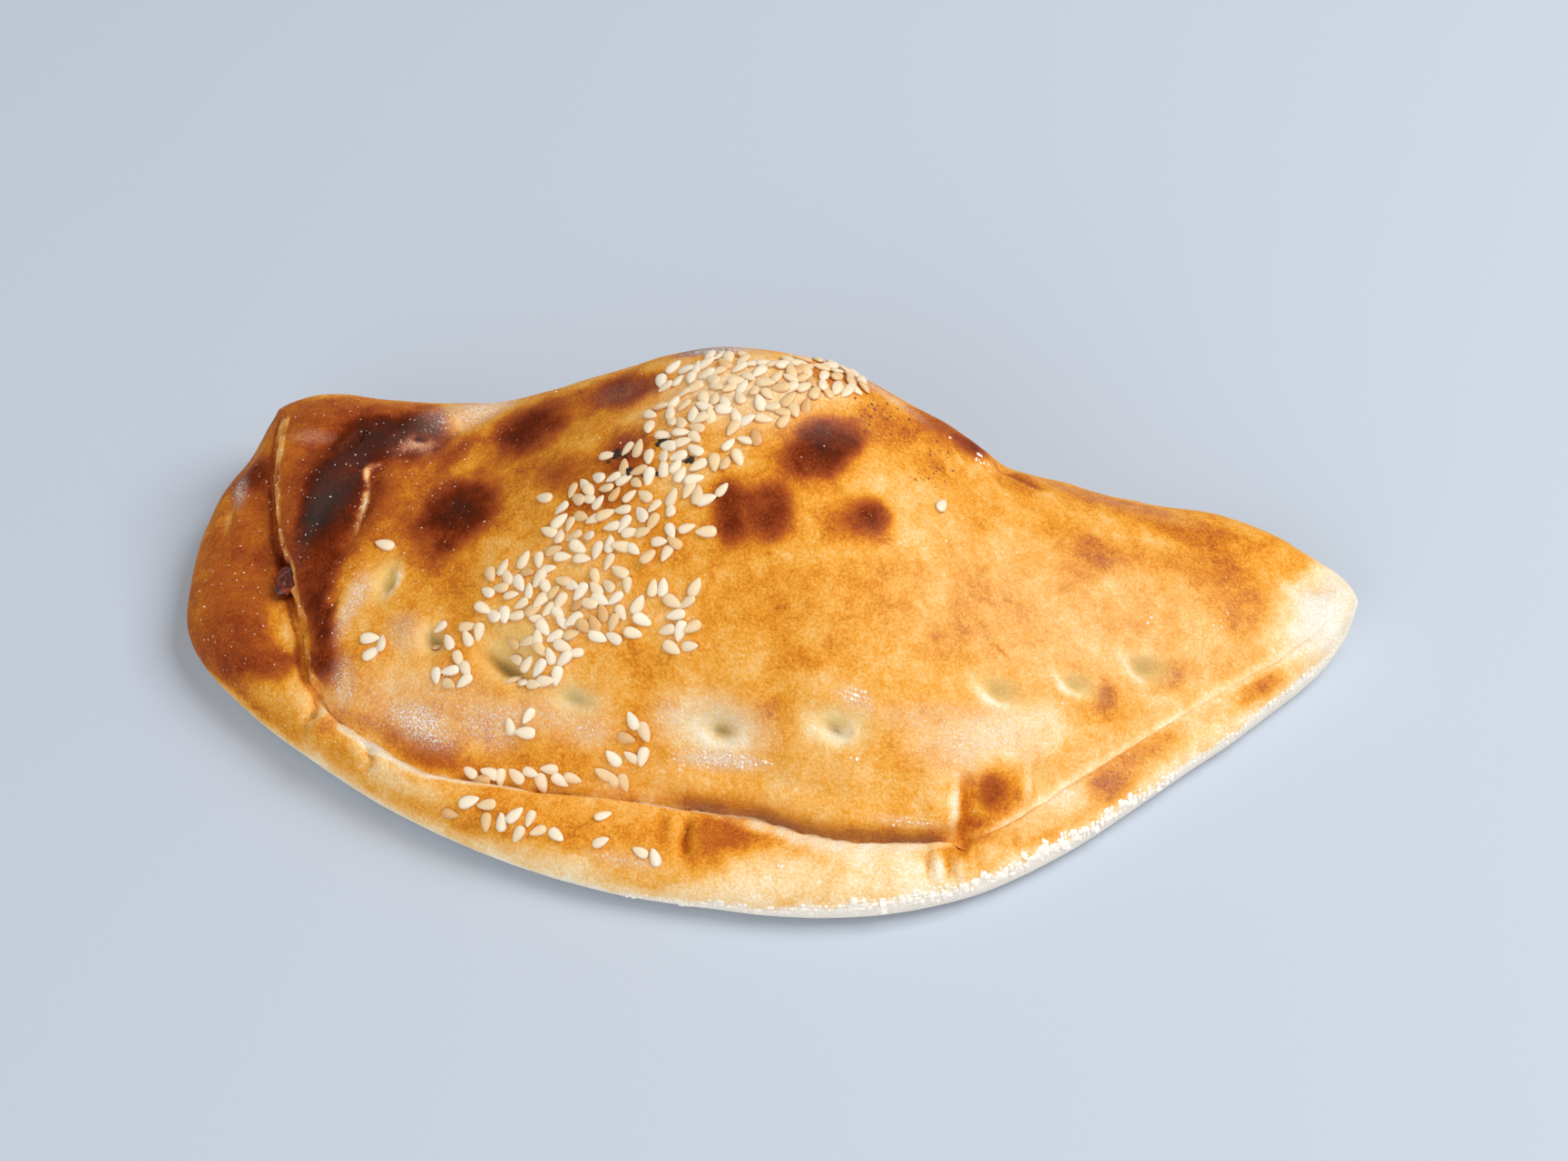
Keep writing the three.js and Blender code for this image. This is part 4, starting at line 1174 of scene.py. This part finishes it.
# %% Groups of seeds
SEED_GROUPS = [
    # x, y, half length, half width, turn in degrees, seeds of the packed model, more seeds
    (4.7, 29.2, 8.5, 4.9, 20, 16, 20),
    (-9.9, 27.5, 9.9, 4.2, -3, 14, 14),
    (-5.6, 20.3, 12.5, 3.6, 1, 13, 11),
    (-13.9, 18.3, 5.7, 5.5, 21, 7, 4),
    (-7.9, 12.8, 8.3, 3.8, -3, 8, 2),
    (-17.1, 10.9, 8.9, 3.9, -9, 9, 2),
    (-23.3, 7.6, 6.2, 4.2, -8, 9, 3),
    (-12.3, 5.7, 8.7, 2.8, -5, 6, 2),
    (-13.2, 1.1, 9.2, 2.9, -5, 9, 3),
    (-26.5, 2.6, 6.5, 3.4, -9, 8, 2),
    (-18.3, -3.0, 10.0, 2.8, -7, 9, 2),
    (-26.5, -5.6, 9.0, 3.2, -8, 10, 4),
    (-16.8, -9.6, 8.3, 3.3, -3, 9, 2),
    (-27.6, -10.0, 7.7, 3.0, -6, 9, 4),
    (-20.4, -13.3, 9.4, 2.1, -1, 8, 2),
    (-27.4, -15.9, 6.3, 2.3, -2, 8, 3),
    (-27.8, -19.1, 4.0, 2.4, -5, 6, 2),
    (-8.1, -11.0, 5.2, 4.5, -29, 7, 1),
    (-44.3, -13.6, 2.0, 1.2, -63, 3, 0),
    (-39.2, -13.2, 2.4, 1.7, -36, 3, 0),
    (-41.4, -19.2, 3.0, 1.9, -11, 5, 1),
    (-34.9, -8.2, 5.9, 4.3, -37, 9, 2),
    (-55.1, -14.9, 1.6, 1.4, -48, 4, 0),
    (-58.6, 2.7, 0.6, 0.4, 0, 1, 0),
    (-33.5, 7.6, 0.7, 0.4, 0, 1, 0),
    (-29.3, -25.8, 2.2, 1.4, 0, 3, 0),
    (-12.8, -26.6, 3.8, 2.6, 49, 8, 1),
    (-28.7, -30.9, 8.7, 0.9, 6, 8, 3),
    (-29.5, -38.6, 9.7, 1.3, -8, 8, 2),
    (-13.6, -35.7, 0.5, 0.4, 0, 1, 0),
    (-13.7, -39.9, 0.4, 0.4, 0, 1, 0),
    (-5.8, -40.4, 1.9, 0.6, -13, 2, 0),
    (27.4, 16.1, 0.6, 0.3, 0, 1, 0),
]
print("groups of seeds:", len(SEED_GROUPS))

# %% Where the seeds lie
PACKED_COUNT, MORE_COUNT = 5, 6  # columns of a group
SEED_SPACING = 1.75
CLOSER_SPACING = 1.5  # of the second round
SEED_TRIES = 60
SEED_SIZES = (0.88, 0.24)  # least share of a seed's full size, and how much it may be over that
SEED_START = 20417  # where the run of random numbers starts
RUN_FACTOR = 1664525
RUN_STEP = 1013904223
RUN_RANGE = 2**32


def random_run(start):
    """A run of random numbers from 0 to 1 that is the same every time."""
    state = start
    while True:
        state = (RUN_FACTOR * state + RUN_STEP) % RUN_RANGE
        yield state / RUN_RANGE


def drawn_in(group, random):
    """A place drawn by chance from the oval of a group."""
    x, y, along, across, turn = group[:PACKED_COUNT]
    angle = math.radians(turn)
    reach = math.sqrt(next(random))
    heading = 2 * math.pi * next(random)
    u = along * reach * math.cos(heading)
    v = across * reach * math.sin(heading)
    return x + u * math.cos(angle) - v * math.sin(angle), y + u * math.sin(angle) + v * math.cos(angle)


def seed_places():
    """Where the seeds lie on the plan: x, y, turn and size of each, first those of the packed model."""
    random = random_run(SEED_START)
    least, over = SEED_SIZES
    found = []
    for counted, spacing in ((PACKED_COUNT, SEED_SPACING), (MORE_COUNT, CLOSER_SPACING)):
        for group in SEED_GROUPS:
            for _ in range(group[counted]):
                for _ in range(SEED_TRIES):
                    x, y = drawn_in(group, random)
                    if any(math.hypot(x - other[0], y - other[1]) < spacing for other in found):
                        continue
                    spin, size, _ = next(random), next(random), next(random)
                    found.append((x, y, 2 * math.pi * spin, least + over * size))
                    break
    return found


places = seed_places()
print("seeds:", len(places))

# %% Put the seed points on the dough
corner_lists = [tuple(polygon.vertices) for polygon in dough_mesh.polygons]
dough_tree = BVHTree.FromPolygons([vertex.co for vertex in dough_mesh.vertices], corner_lists)
DROP_FROM = 0.2  # metres above the base
SEED_LEAN = 0.13
LEAN_START = 5
TOAST_START = 7
TOAST_SHAPE = (1.3, 4.2)  # most seeds are pale, and a few are toasted
TOASTED = (5.0, 30.0, 9.0, 0.18)  # x, y, reach, and how much more the seeds there are toasted


def on_dough(x, y):
    """The place and the outward direction of the dough below a place of the plan, in metres."""
    start = Vector(((x - middle[0]) * MM, (y - middle[1]) * MM, DROP_FROM))
    place, normal, _, _ = dough_tree.ray_cast(start, Vector((0, 0, -1)))
    return place, normal


def point_cloud(name, spots, **columns):
    """A mesh of loose points with a number or a vector for each, under the name of each column."""
    mesh = bpy.data.meshes.new(name)
    mesh.from_pydata(spots, [], [])
    store(mesh, **columns)
    return new_object(name, mesh)


lean = np.random.RandomState(LEAN_START).normal(0, SEED_LEAN, (len(places), 3))
spots, outward, headings, sizes = [], [], [], []
for (x, y, turn, size), tilt in zip(places, lean):
    spot, normal = on_dough(x, y)
    spots.append(spot)
    outward.append((normal + Vector(tilt)).normalized())
    headings.append((math.cos(turn), math.sin(turn), 0))
    sizes.append(size)
# The oven reached the right of the crown most: the seeds there are golden.
golden_x, golden_y, reach, more = TOASTED
toasts = np.random.RandomState(TOAST_START).beta(*TOAST_SHAPE, len(places))
from_golden = np.array([math.hypot(x - golden_x, y - golden_y) for x, y, _, _ in places])
toasts += more * bell(from_golden / reach)
seed_points = point_cloud("sesame", spots, outward=outward, heading=headings, size=sizes, toast=toasts)
print("first seed at, mm:", [round(value / MM, 1) for value in spots[0]])

# %% One seed
SEED_LENGTH = 3.1
SEED_WIDTH = 1.85
SEED_HEIGHT = 0.75
SEED_TAPER = (0.3, 0.16)  # how much the seed narrows from its blunt to its pointed half, and more at the ends
SEED_RISE = 0.28  # how far its middle lies above the dough, as a share of its height
SEED_TIP = 0.1  # a point that lies closer to the long axis than this share is one of the two ends


def seed_mesh():
    """One sesame seed lying on its side: a flat drop, blunt at one end and pointed at the other."""
    mesh = bpy.data.meshes.new("seed")
    shape = bmesh.new()
    bmesh.ops.create_uvsphere(shape, u_segments=8, v_segments=7, radius=1)
    outline = []
    for vert in shape.verts:
        x, y, z = vert.co.z, vert.co.x, vert.co.y
        around = math.hypot(y, z)
        outline.append((1 - abs(z) / around) ** 2 if around > SEED_TIP else 1)
        fullness = 1 - SEED_TAPER[0] * x - SEED_TAPER[1] * x**3
        vert.co = (
            0.5 * SEED_LENGTH * x * MM,
            0.5 * SEED_WIDTH * y * fullness * MM,
            (0.5 * z * fullness + SEED_RISE) * SEED_HEIGHT * MM,
        )
    for face in shape.faces:
        face.smooth = True
    bmesh.ops.recalc_face_normals(shape, faces=shape.faces)
    shape.to_mesh(mesh)
    shape.free()
    store(mesh, outline=outline)
    return mesh


one_seed = new_object("one_seed", seed_mesh())
print("one seed:", len(one_seed.data.polygons), "faces")

# %% Seed material
SEED_RAMP = [
    # toasting, red, green, blue
    (0.0, 251, 238, 214),
    (0.3, 245, 221, 182),
    (0.6, 234, 192, 132),
    (1.0, 210, 146, 78),
]
SEED_EDGE = linear(202, 142, 84)
EDGE_SHARE = 0.5  # how much of that colour shows on the outline of a seed
SEED_WANDER = 0.25  # how far the toasting strays over a seed
sesame, s, surface, place = new_material("sesame")
shade = s.noise(place, scale=700, detail=3)
streak = s.noise(place, scale=2400, detail=2)
toast = s.total(s.attribute("toast"), s.wobble(shade, SEED_WANDER))
edge = s.scaled(s.attribute("outline"), EDGE_SHARE)
s.link(s.blend(edge, s.ramp(toast, SEED_RAMP), SEED_EDGE), surface.inputs["Base Color"])
surface.inputs["Roughness"].default_value = 0.42
s.bump(surface, streak, strength=0.2, distance=0.2 * MM)
print("seed material:", len(sesame.node_tree.nodes), "nodes")

# %% Scatter tree


def scatter_tree(name):
    """A tree that puts a copy of one shape on every point, flat to the dough, at the point's own size."""
    tree = bpy.data.node_groups.new(name, "GeometryNodeTree")
    wanted = {}
    inputs = {"Points": "Geometry", "Shape": "Object", "Finish": "Material", "Scale": "Float"}
    for label, kind in inputs.items():
        wanted[label] = tree.interface.new_socket(label, in_out="INPUT", socket_type="NodeSocket" + kind)
    tree.interface.new_socket("Copies", in_out="OUTPUT", socket_type="NodeSocketGeometry")

    def node(kind, sources, **settings):
        made = tree.nodes.new(kind)
        for setting, value in settings.items():
            setattr(made, setting, value)
        for socket, source in sources.items():
            tree.links.new(source, made.inputs[socket])
        return made.outputs

    given = node("NodeGroupInput", {})
    fields = {}
    for label, kind in (("outward", "FLOAT_VECTOR"), ("heading", "FLOAT_VECTOR"), ("size", "FLOAT")):
        field = tree.nodes.new("GeometryNodeInputNamedAttribute")
        field.data_type = kind
        field.inputs["Name"].default_value = label
        fields[label] = field.outputs["Attribute"]
    shape = node("GeometryNodeObjectInfo", {"Object": given["Shape"]})
    stood = node("FunctionNodeAlignRotationToVector", {"Vector": fields["outward"]}, axis="Z")
    facing_round = {"Rotation": stood["Rotation"], "Vector": fields["heading"]}
    turned = node("FunctionNodeAlignRotationToVector", facing_round, axis="X", pivot_axis="Z")
    size = node("ShaderNodeMath", {0: fields["size"], 1: given["Scale"]}, operation="MULTIPLY")
    placing = {
        "Points": given["Points"],
        "Instance": shape["Geometry"],
        "Rotation": turned["Rotation"],
        "Scale": size[0],
    }
    copies = node("GeometryNodeInstanceOnPoints", placing)
    real = node("GeometryNodeRealizeInstances", {"Geometry": copies["Instances"]})
    finished = node("GeometryNodeSetMaterial", {"Geometry": real["Geometry"], "Material": given["Finish"]})
    node("NodeGroupOutput", {"Copies": finished["Geometry"]})
    return tree, [wanted[label].identifier for label in ("Shape", "Finish", "Scale")]


scatter, scatter_sockets = scatter_tree("scatter")


def scattered(cloud, shape, finish, scale=1.0):
    """The finished copies as a plain mesh in place of the cloud of points."""
    modifier = cloud.modifiers.new("scatter", "NODES")
    modifier.node_group = scatter
    for identifier, value in zip(scatter_sockets, (shape, finish, scale)):
        modifier[identifier] = value
    bpy.context.view_layer.update()
    evaluated = cloud.evaluated_get(bpy.context.evaluated_depsgraph_get())
    mesh = bpy.data.meshes.new_from_object(evaluated)
    mesh.materials.clear()
    mesh.materials.append(finish)
    mesh.polygons.foreach_set("material_index", np.zeros(len(mesh.polygons), np.int32))
    cloud.modifiers.remove(modifier)
    cloud.data = mesh
    return cloud


scattered(seed_points, one_seed, sesame)
bpy.data.objects.remove(one_seed)
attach(seed_points, "root")
print("sesame:", len(seed_points.data.polygons), "faces")

# %% [markdown]
# ## Crumbs and flecks
# Loose flour has caked into crumbs along the white edge and beside the dimples, and burnt bits lie between
# the seeds. They are scattered by the same tree as the seeds. Where they lie is drawn by chance from the
# points of the dough, each kind with its own chances, so a crumb always sits on the surface.

# %% Where crumbs and flecks lie
face_areas = np.array([polygon.area for polygon in dough_mesh.polygons])
point_areas = np.zeros(len(points))
for corner in range(4):
    np.add.at(point_areas, faces[:, corner], face_areas)
WHITE_SIDE = (0.06, 0.48, 0.04)  # the share of the front where crumbs lie on the white edge: from, to, fade
CRUMBLY_SIDE = (0.23, 0.37, 0.04)  # and where they are largest
white_front = band(uneven_white, -1.0, 0.3, 0.8) * band(front_share, *WHITE_SIDE)
crumbly_front = band(uneven_white, -1.2, 0.8, 0.8) * band(front_share, *CRUMBLY_SIDE)
longest_scrape = SCRAPES[0][-1]
LONE_CRUMBS = [
    # x, y
    (61.6, 14.5),
    (21.5, -23.6),
    (14.2, -39.2),
    (-3.7, -27.1),
    (30.2, 29.7),
    (31.8, 29.6),
    (26.6, 31.0),
]
EDGE_LUMPS = [(48.8, -27.3), (51.9, -24.2), (54.4, -21.2)]
CRUMB_KINDS = [
    # how likely each point is, often as an oval, then how many, and smallest and largest size
    (white_front, 380, 0.25, 1.0),
    (crumbly_front, 170, 0.6, 1.8),
    (cover(20.2, -16.3, 2.4, 0.8, -6), 16, 0.3, 1.0),
    (cover(2.0, -25.6, 6.6, 1.3, 5), 22, 0.25, 0.7),
    (cover(31.0, 31.0, 3.4, 1.6, 20), 8, 0.4, 1.0),
    (cover(71.8, 19.8, 1.8, 1.0, 70), 4, 0.4, 0.9),
    (strip(0.8, longest_scrape), 30, 0.15, 0.35),
    (step_line * (edge_away < FAR), 24, 0.2, 0.5),
    (pressed * band(seam_away, -0.7, 0.5, 0.5), 60, 0.15, 0.4),
    (overhang * band(uneven_seam, -3.8, -2.0, 0.6), 70, 0.12, 0.3),
    (cover(53.5, -14.6, 1.8, 0.9, 45), 7, 0.4, 0.9),
    (cover(31.5, -27.4, 4.5, 0.7, 5), 14, 0.2, 0.5),
    (np.max([cover(x, y, 1.3, 0.9, 40) for x, y in EDGE_LUMPS], axis=0), 16, 0.8, 1.7),
    (np.where(upper, 1.0, 0.0), 90, 0.2, 0.45),
    (np.max([cover(x, y, 0.8, 0.8, 0) for x, y in LONE_CRUMBS], axis=0), 9, 0.5, 1.1),
]
FLECK_KINDS = [
    # how likely each point is, how many, smallest and largest size
    (cover(-23.0, 13.0, 1.8, 0.9, 10), 9, 0.8, 2.0),
    (cover(-15.6, 13.4, 1.2, 0.8, 0), 6, 0.8, 1.8),
    (cover(-11.3, 9.6, 0.9, 0.7, 0), 4, 0.7, 1.5),
    (cover(-18.0, 8.8, 2.2, 0.9, 0), 8, 0.8, 1.9),
    (cover(-0.5, -30.0, 0.9, 0.7, 0), 2, 0.7, 1.1),
    (cover(-13.0, 11.5, 3.0, 2.0, 0), 5, 0.3, 0.8),
    (cover(17.0, 25.0, 6.5, 3.8, 20), 95, 0.25, 0.75),
    (cover(25.5, 21.5, 4.5, 3.0, 60), 42, 0.25, 0.7),
    (cover(17.7, 7.1, 1.0, 0.8, 20), 4, 0.25, 0.5),
]
print("kinds of crumb:", len(CRUMB_KINDS), "kinds of fleck:", len(FLECK_KINDS))

# %% Pick their points
CRUMB_START = 61
FLECK_START = 67
CRUMB_LEAN = 0.3


def sprinkle(name, kinds, start):
    """A cloud of points picked by chance from the dough, with a size and a random direction for each."""
    chance = np.random.RandomState(start)
    picked, sizes = [], []
    for likely, count, smallest, largest in kinds:
        weight = np.clip(likely, 0, None) * point_areas
        picked += chance.choice(len(points), count, replace=False, p=weight / weight.sum()).tolist()
        sizes += mix(smallest, largest, chance.uniform(0, 1, count) ** 2).tolist()
    outward = normals[picked] + chance.normal(0, CRUMB_LEAN, (len(picked), 3))
    heading = chance.normal(0, 1, (len(picked), 3))
    spots = ((dough_points[picked] - middle) * MM).tolist()
    return point_cloud(name, spots, outward=outward, heading=heading, size=sizes)


crumbs = sprinkle("crumbs", CRUMB_KINDS, CRUMB_START)
flecks = sprinkle("flecks", FLECK_KINDS, FLECK_START)
print("crumbs:", len(crumbs.data.vertices), "flecks:", len(flecks.data.vertices))

# %% One crumb, and the finished crumbs
CRUMB_FORM = (1.0, 0.78, 0.55)  # length, width and height
DENTS = (0.7, 1.2)  # how far in and out its points are moved, as shares
DENT_START = 71
BURNT_RAMP = [
    # size, red, green, blue: small freckles are brown, and larger bits are burnt
    (0.4, 186, 108, 52),
    (0.76, 146, 78, 38),
    (0.95, 44, 26, 18),
]


def crumb_mesh():
    """One crumb a millimetre long: a ball of twenty faces, dented and flattened."""
    mesh = bpy.data.meshes.new("crumb")
    shape = bmesh.new()
    bmesh.ops.create_icosphere(shape, subdivisions=1, radius=0.5 * MM)
    dents = np.random.RandomState(DENT_START).uniform(*DENTS, len(shape.verts))
    for vert, dent in zip(shape.verts, dents):
        vert.co = Vector([value * share * dent for value, share in zip(vert.co, CRUMB_FORM)])
    shape.to_mesh(mesh)
    shape.free()
    return mesh


one_crumb = new_object("one_crumb", crumb_mesh())
caked, s, surface, place = new_material("caked_flour")
surface.inputs["Base Color"].default_value = FLOUR_COLOUR
surface.inputs["Roughness"].default_value = 0.9
burnt, s, surface, place = new_material("burnt_bits")
s.link(s.ramp(s.attribute("size"), BURNT_RAMP), surface.inputs["Base Color"])
surface.inputs["Roughness"].default_value = 0.7
for cloud, finish in ((crumbs, caked), (flecks, burnt)):
    scattered(cloud, one_crumb, finish)
    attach(cloud, "root")
    print(cloud.name, len(cloud.data.polygons), "faces")
bpy.data.objects.remove(one_crumb)

# %% [markdown]
# ## The filling
# A bit of dark red meat has boiled out under the edge of the top sheet at the left. The packed model
# already has the whole pocket of filling with that nub on it. Drawing it again would only risk a gap, so a
# copy of it is kept, and only the nub is made finer.

# %% Filling
NUB = (-74.2, -1.3, 13.0)
NUB_REACH = 5.0
NUB_ROUNDS = 2  # how often its faces are divided
NUB_SWELL = 1.3  # moist meat swells out a little further than the packed nub
NUB_FALL = 1.6  # where the swelling ends, in halves of the reach
MERGE_GAP = 1e-6
MEAT_RAMP = [
    # noise, red, green, blue
    (0.3, 40, 10, 6),
    (0.5, 92, 27, 14),
    (0.7, 144, 58, 30),
]

filling_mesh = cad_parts["filling"].data.copy()
filling_mesh.materials.clear()
shape = bmesh.new()
shape.from_mesh(filling_mesh)
bmesh.ops.remove_doubles(shape, verts=shape.verts, dist=MERGE_GAP)
nub_place = Vector(((NUB[0] - middle[0]) * MM, (NUB[1] - middle[1]) * MM, NUB[2] * MM))


def near_nub(vert):
    """Whether a point belongs to the nub."""
    return (vert.co - nub_place).length < NUB_REACH * MM


for _ in range(NUB_ROUNDS):
    near = [edge for edge in shape.edges if all(near_nub(vert) for vert in edge.verts)]
    bmesh.ops.subdivide_edges(shape, edges=near, cuts=1, use_grid_fill=True)
bmesh.ops.triangulate(shape, faces=shape.faces)
for vert in shape.verts:
    offset = vert.co - nub_place
    swelling = ease(NUB_FALL - offset.length / (0.5 * NUB_REACH * MM))
    vert.co = nub_place + offset * mix(1, NUB_SWELL, swelling)
for face in shape.faces:
    face.smooth = True
shape.to_mesh(filling_mesh)
shape.free()
filling = new_object("meat", filling_mesh)
print("finer nub:", len(filling_mesh.vertices), "points in the filling")

# %% Meat material
meat, s, surface, place = new_material("meat")
lumps = s.noise(place, scale=900, detail=3)
s.link(s.ramp(lumps, MEAT_RAMP), surface.inputs["Base Color"])
surface.inputs["Roughness"].default_value = 0.16
s.bump(surface, lumps, strength=0.6, distance=0.6 * MM)
filling.data.materials.append(meat)
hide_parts("filling")
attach(filling, "root")
print("filling:", len(filling_mesh.polygons), "faces")

# %% [markdown]
# ## Floor, light and camera
# The object lies on a plain pale floor. Daylight in the photograph comes from the right and from behind,
# soft, with a good deal of light from everywhere else. So one large area light stands there, a weaker one in
# front and a low one for the white edge, and the world gives the rest. The camera looks down at 45 degrees,
# a little from the right.

# %% Floor
FLOOR_HALF = 3.0
FLOOR_COLOUR = linear(195, 205, 219)
floor_mesh = bpy.data.meshes.new("floor")
corners = [(FLOOR_HALF * x, FLOOR_HALF * y, 0) for x, y in ((-1, -1), (1, -1), (1, 1), (-1, 1))]
floor_mesh.from_pydata(corners, [], [(0, 1, 2, 3)])
floor = new_object("floor", floor_mesh)
pale, s, surface, place = new_material("floor")
surface.inputs["Base Color"].default_value = FLOOR_COLOUR
surface.inputs["Roughness"].default_value = 0.8
floor.data.materials.append(pale)
print("floor:", 2 * FLOOR_HALF, "metres wide")

# %% Lights
WORLD_STRENGTH = 0.4
WHITE_LIGHT = (1.0, 1.0, 1.0)
LIGHTS = [
    # name, place in metres, size in metres, power in watts, colour
    ("key", (0.68, 0.22, 0.9), 0.75, 10.2, (1.0, 0.98, 0.95)),
    ("fill", (-0.3, -1.05, 0.5), 0.9, 5.0, WHITE_LIGHT),
    ("low", (0.5, -0.9, 0.16), 0.3, 0.8, WHITE_LIGHT),
]
world = bpy.data.worlds.new("world")
bpy.context.scene.world = world
world.use_nodes = True
background = world.node_tree.nodes["Background"]
background.inputs["Color"].default_value = (*WHITE_LIGHT, 1)
background.inputs["Strength"].default_value = WORLD_STRENGTH
for name, place, size, power, colour in LIGHTS:
    light = bpy.data.lights.new(name, "AREA")
    light.size = size
    light.energy = power
    light.color = colour
    lamp = new_object(name, light)
    lamp.location = place
    lamp.rotation_euler = (-Vector(place)).to_track_quat("-Z", "Y").to_euler()
print("lights:", len(LIGHTS))

# %% Camera
CAMERA_PLACE = (0.08971, -0.39148, 0.42875)  # metres, 587 mm from the middle of the base
CAMERA_TURN = (45, 0, 12)  # degrees about x, y and z, from looking straight down
camera_data = bpy.data.cameras.new("camera")
camera_data.lens = 85
camera_data.sensor_width = 36
camera = new_object("camera", camera_data)
camera.location = CAMERA_PLACE
camera.rotation_euler = [math.radians(angle) for angle in CAMERA_TURN]
bpy.context.scene.camera = camera
bpy.context.scene.view_settings.view_transform = "Standard"
print("camera at", tuple(round(value, 3) for value in camera.location))
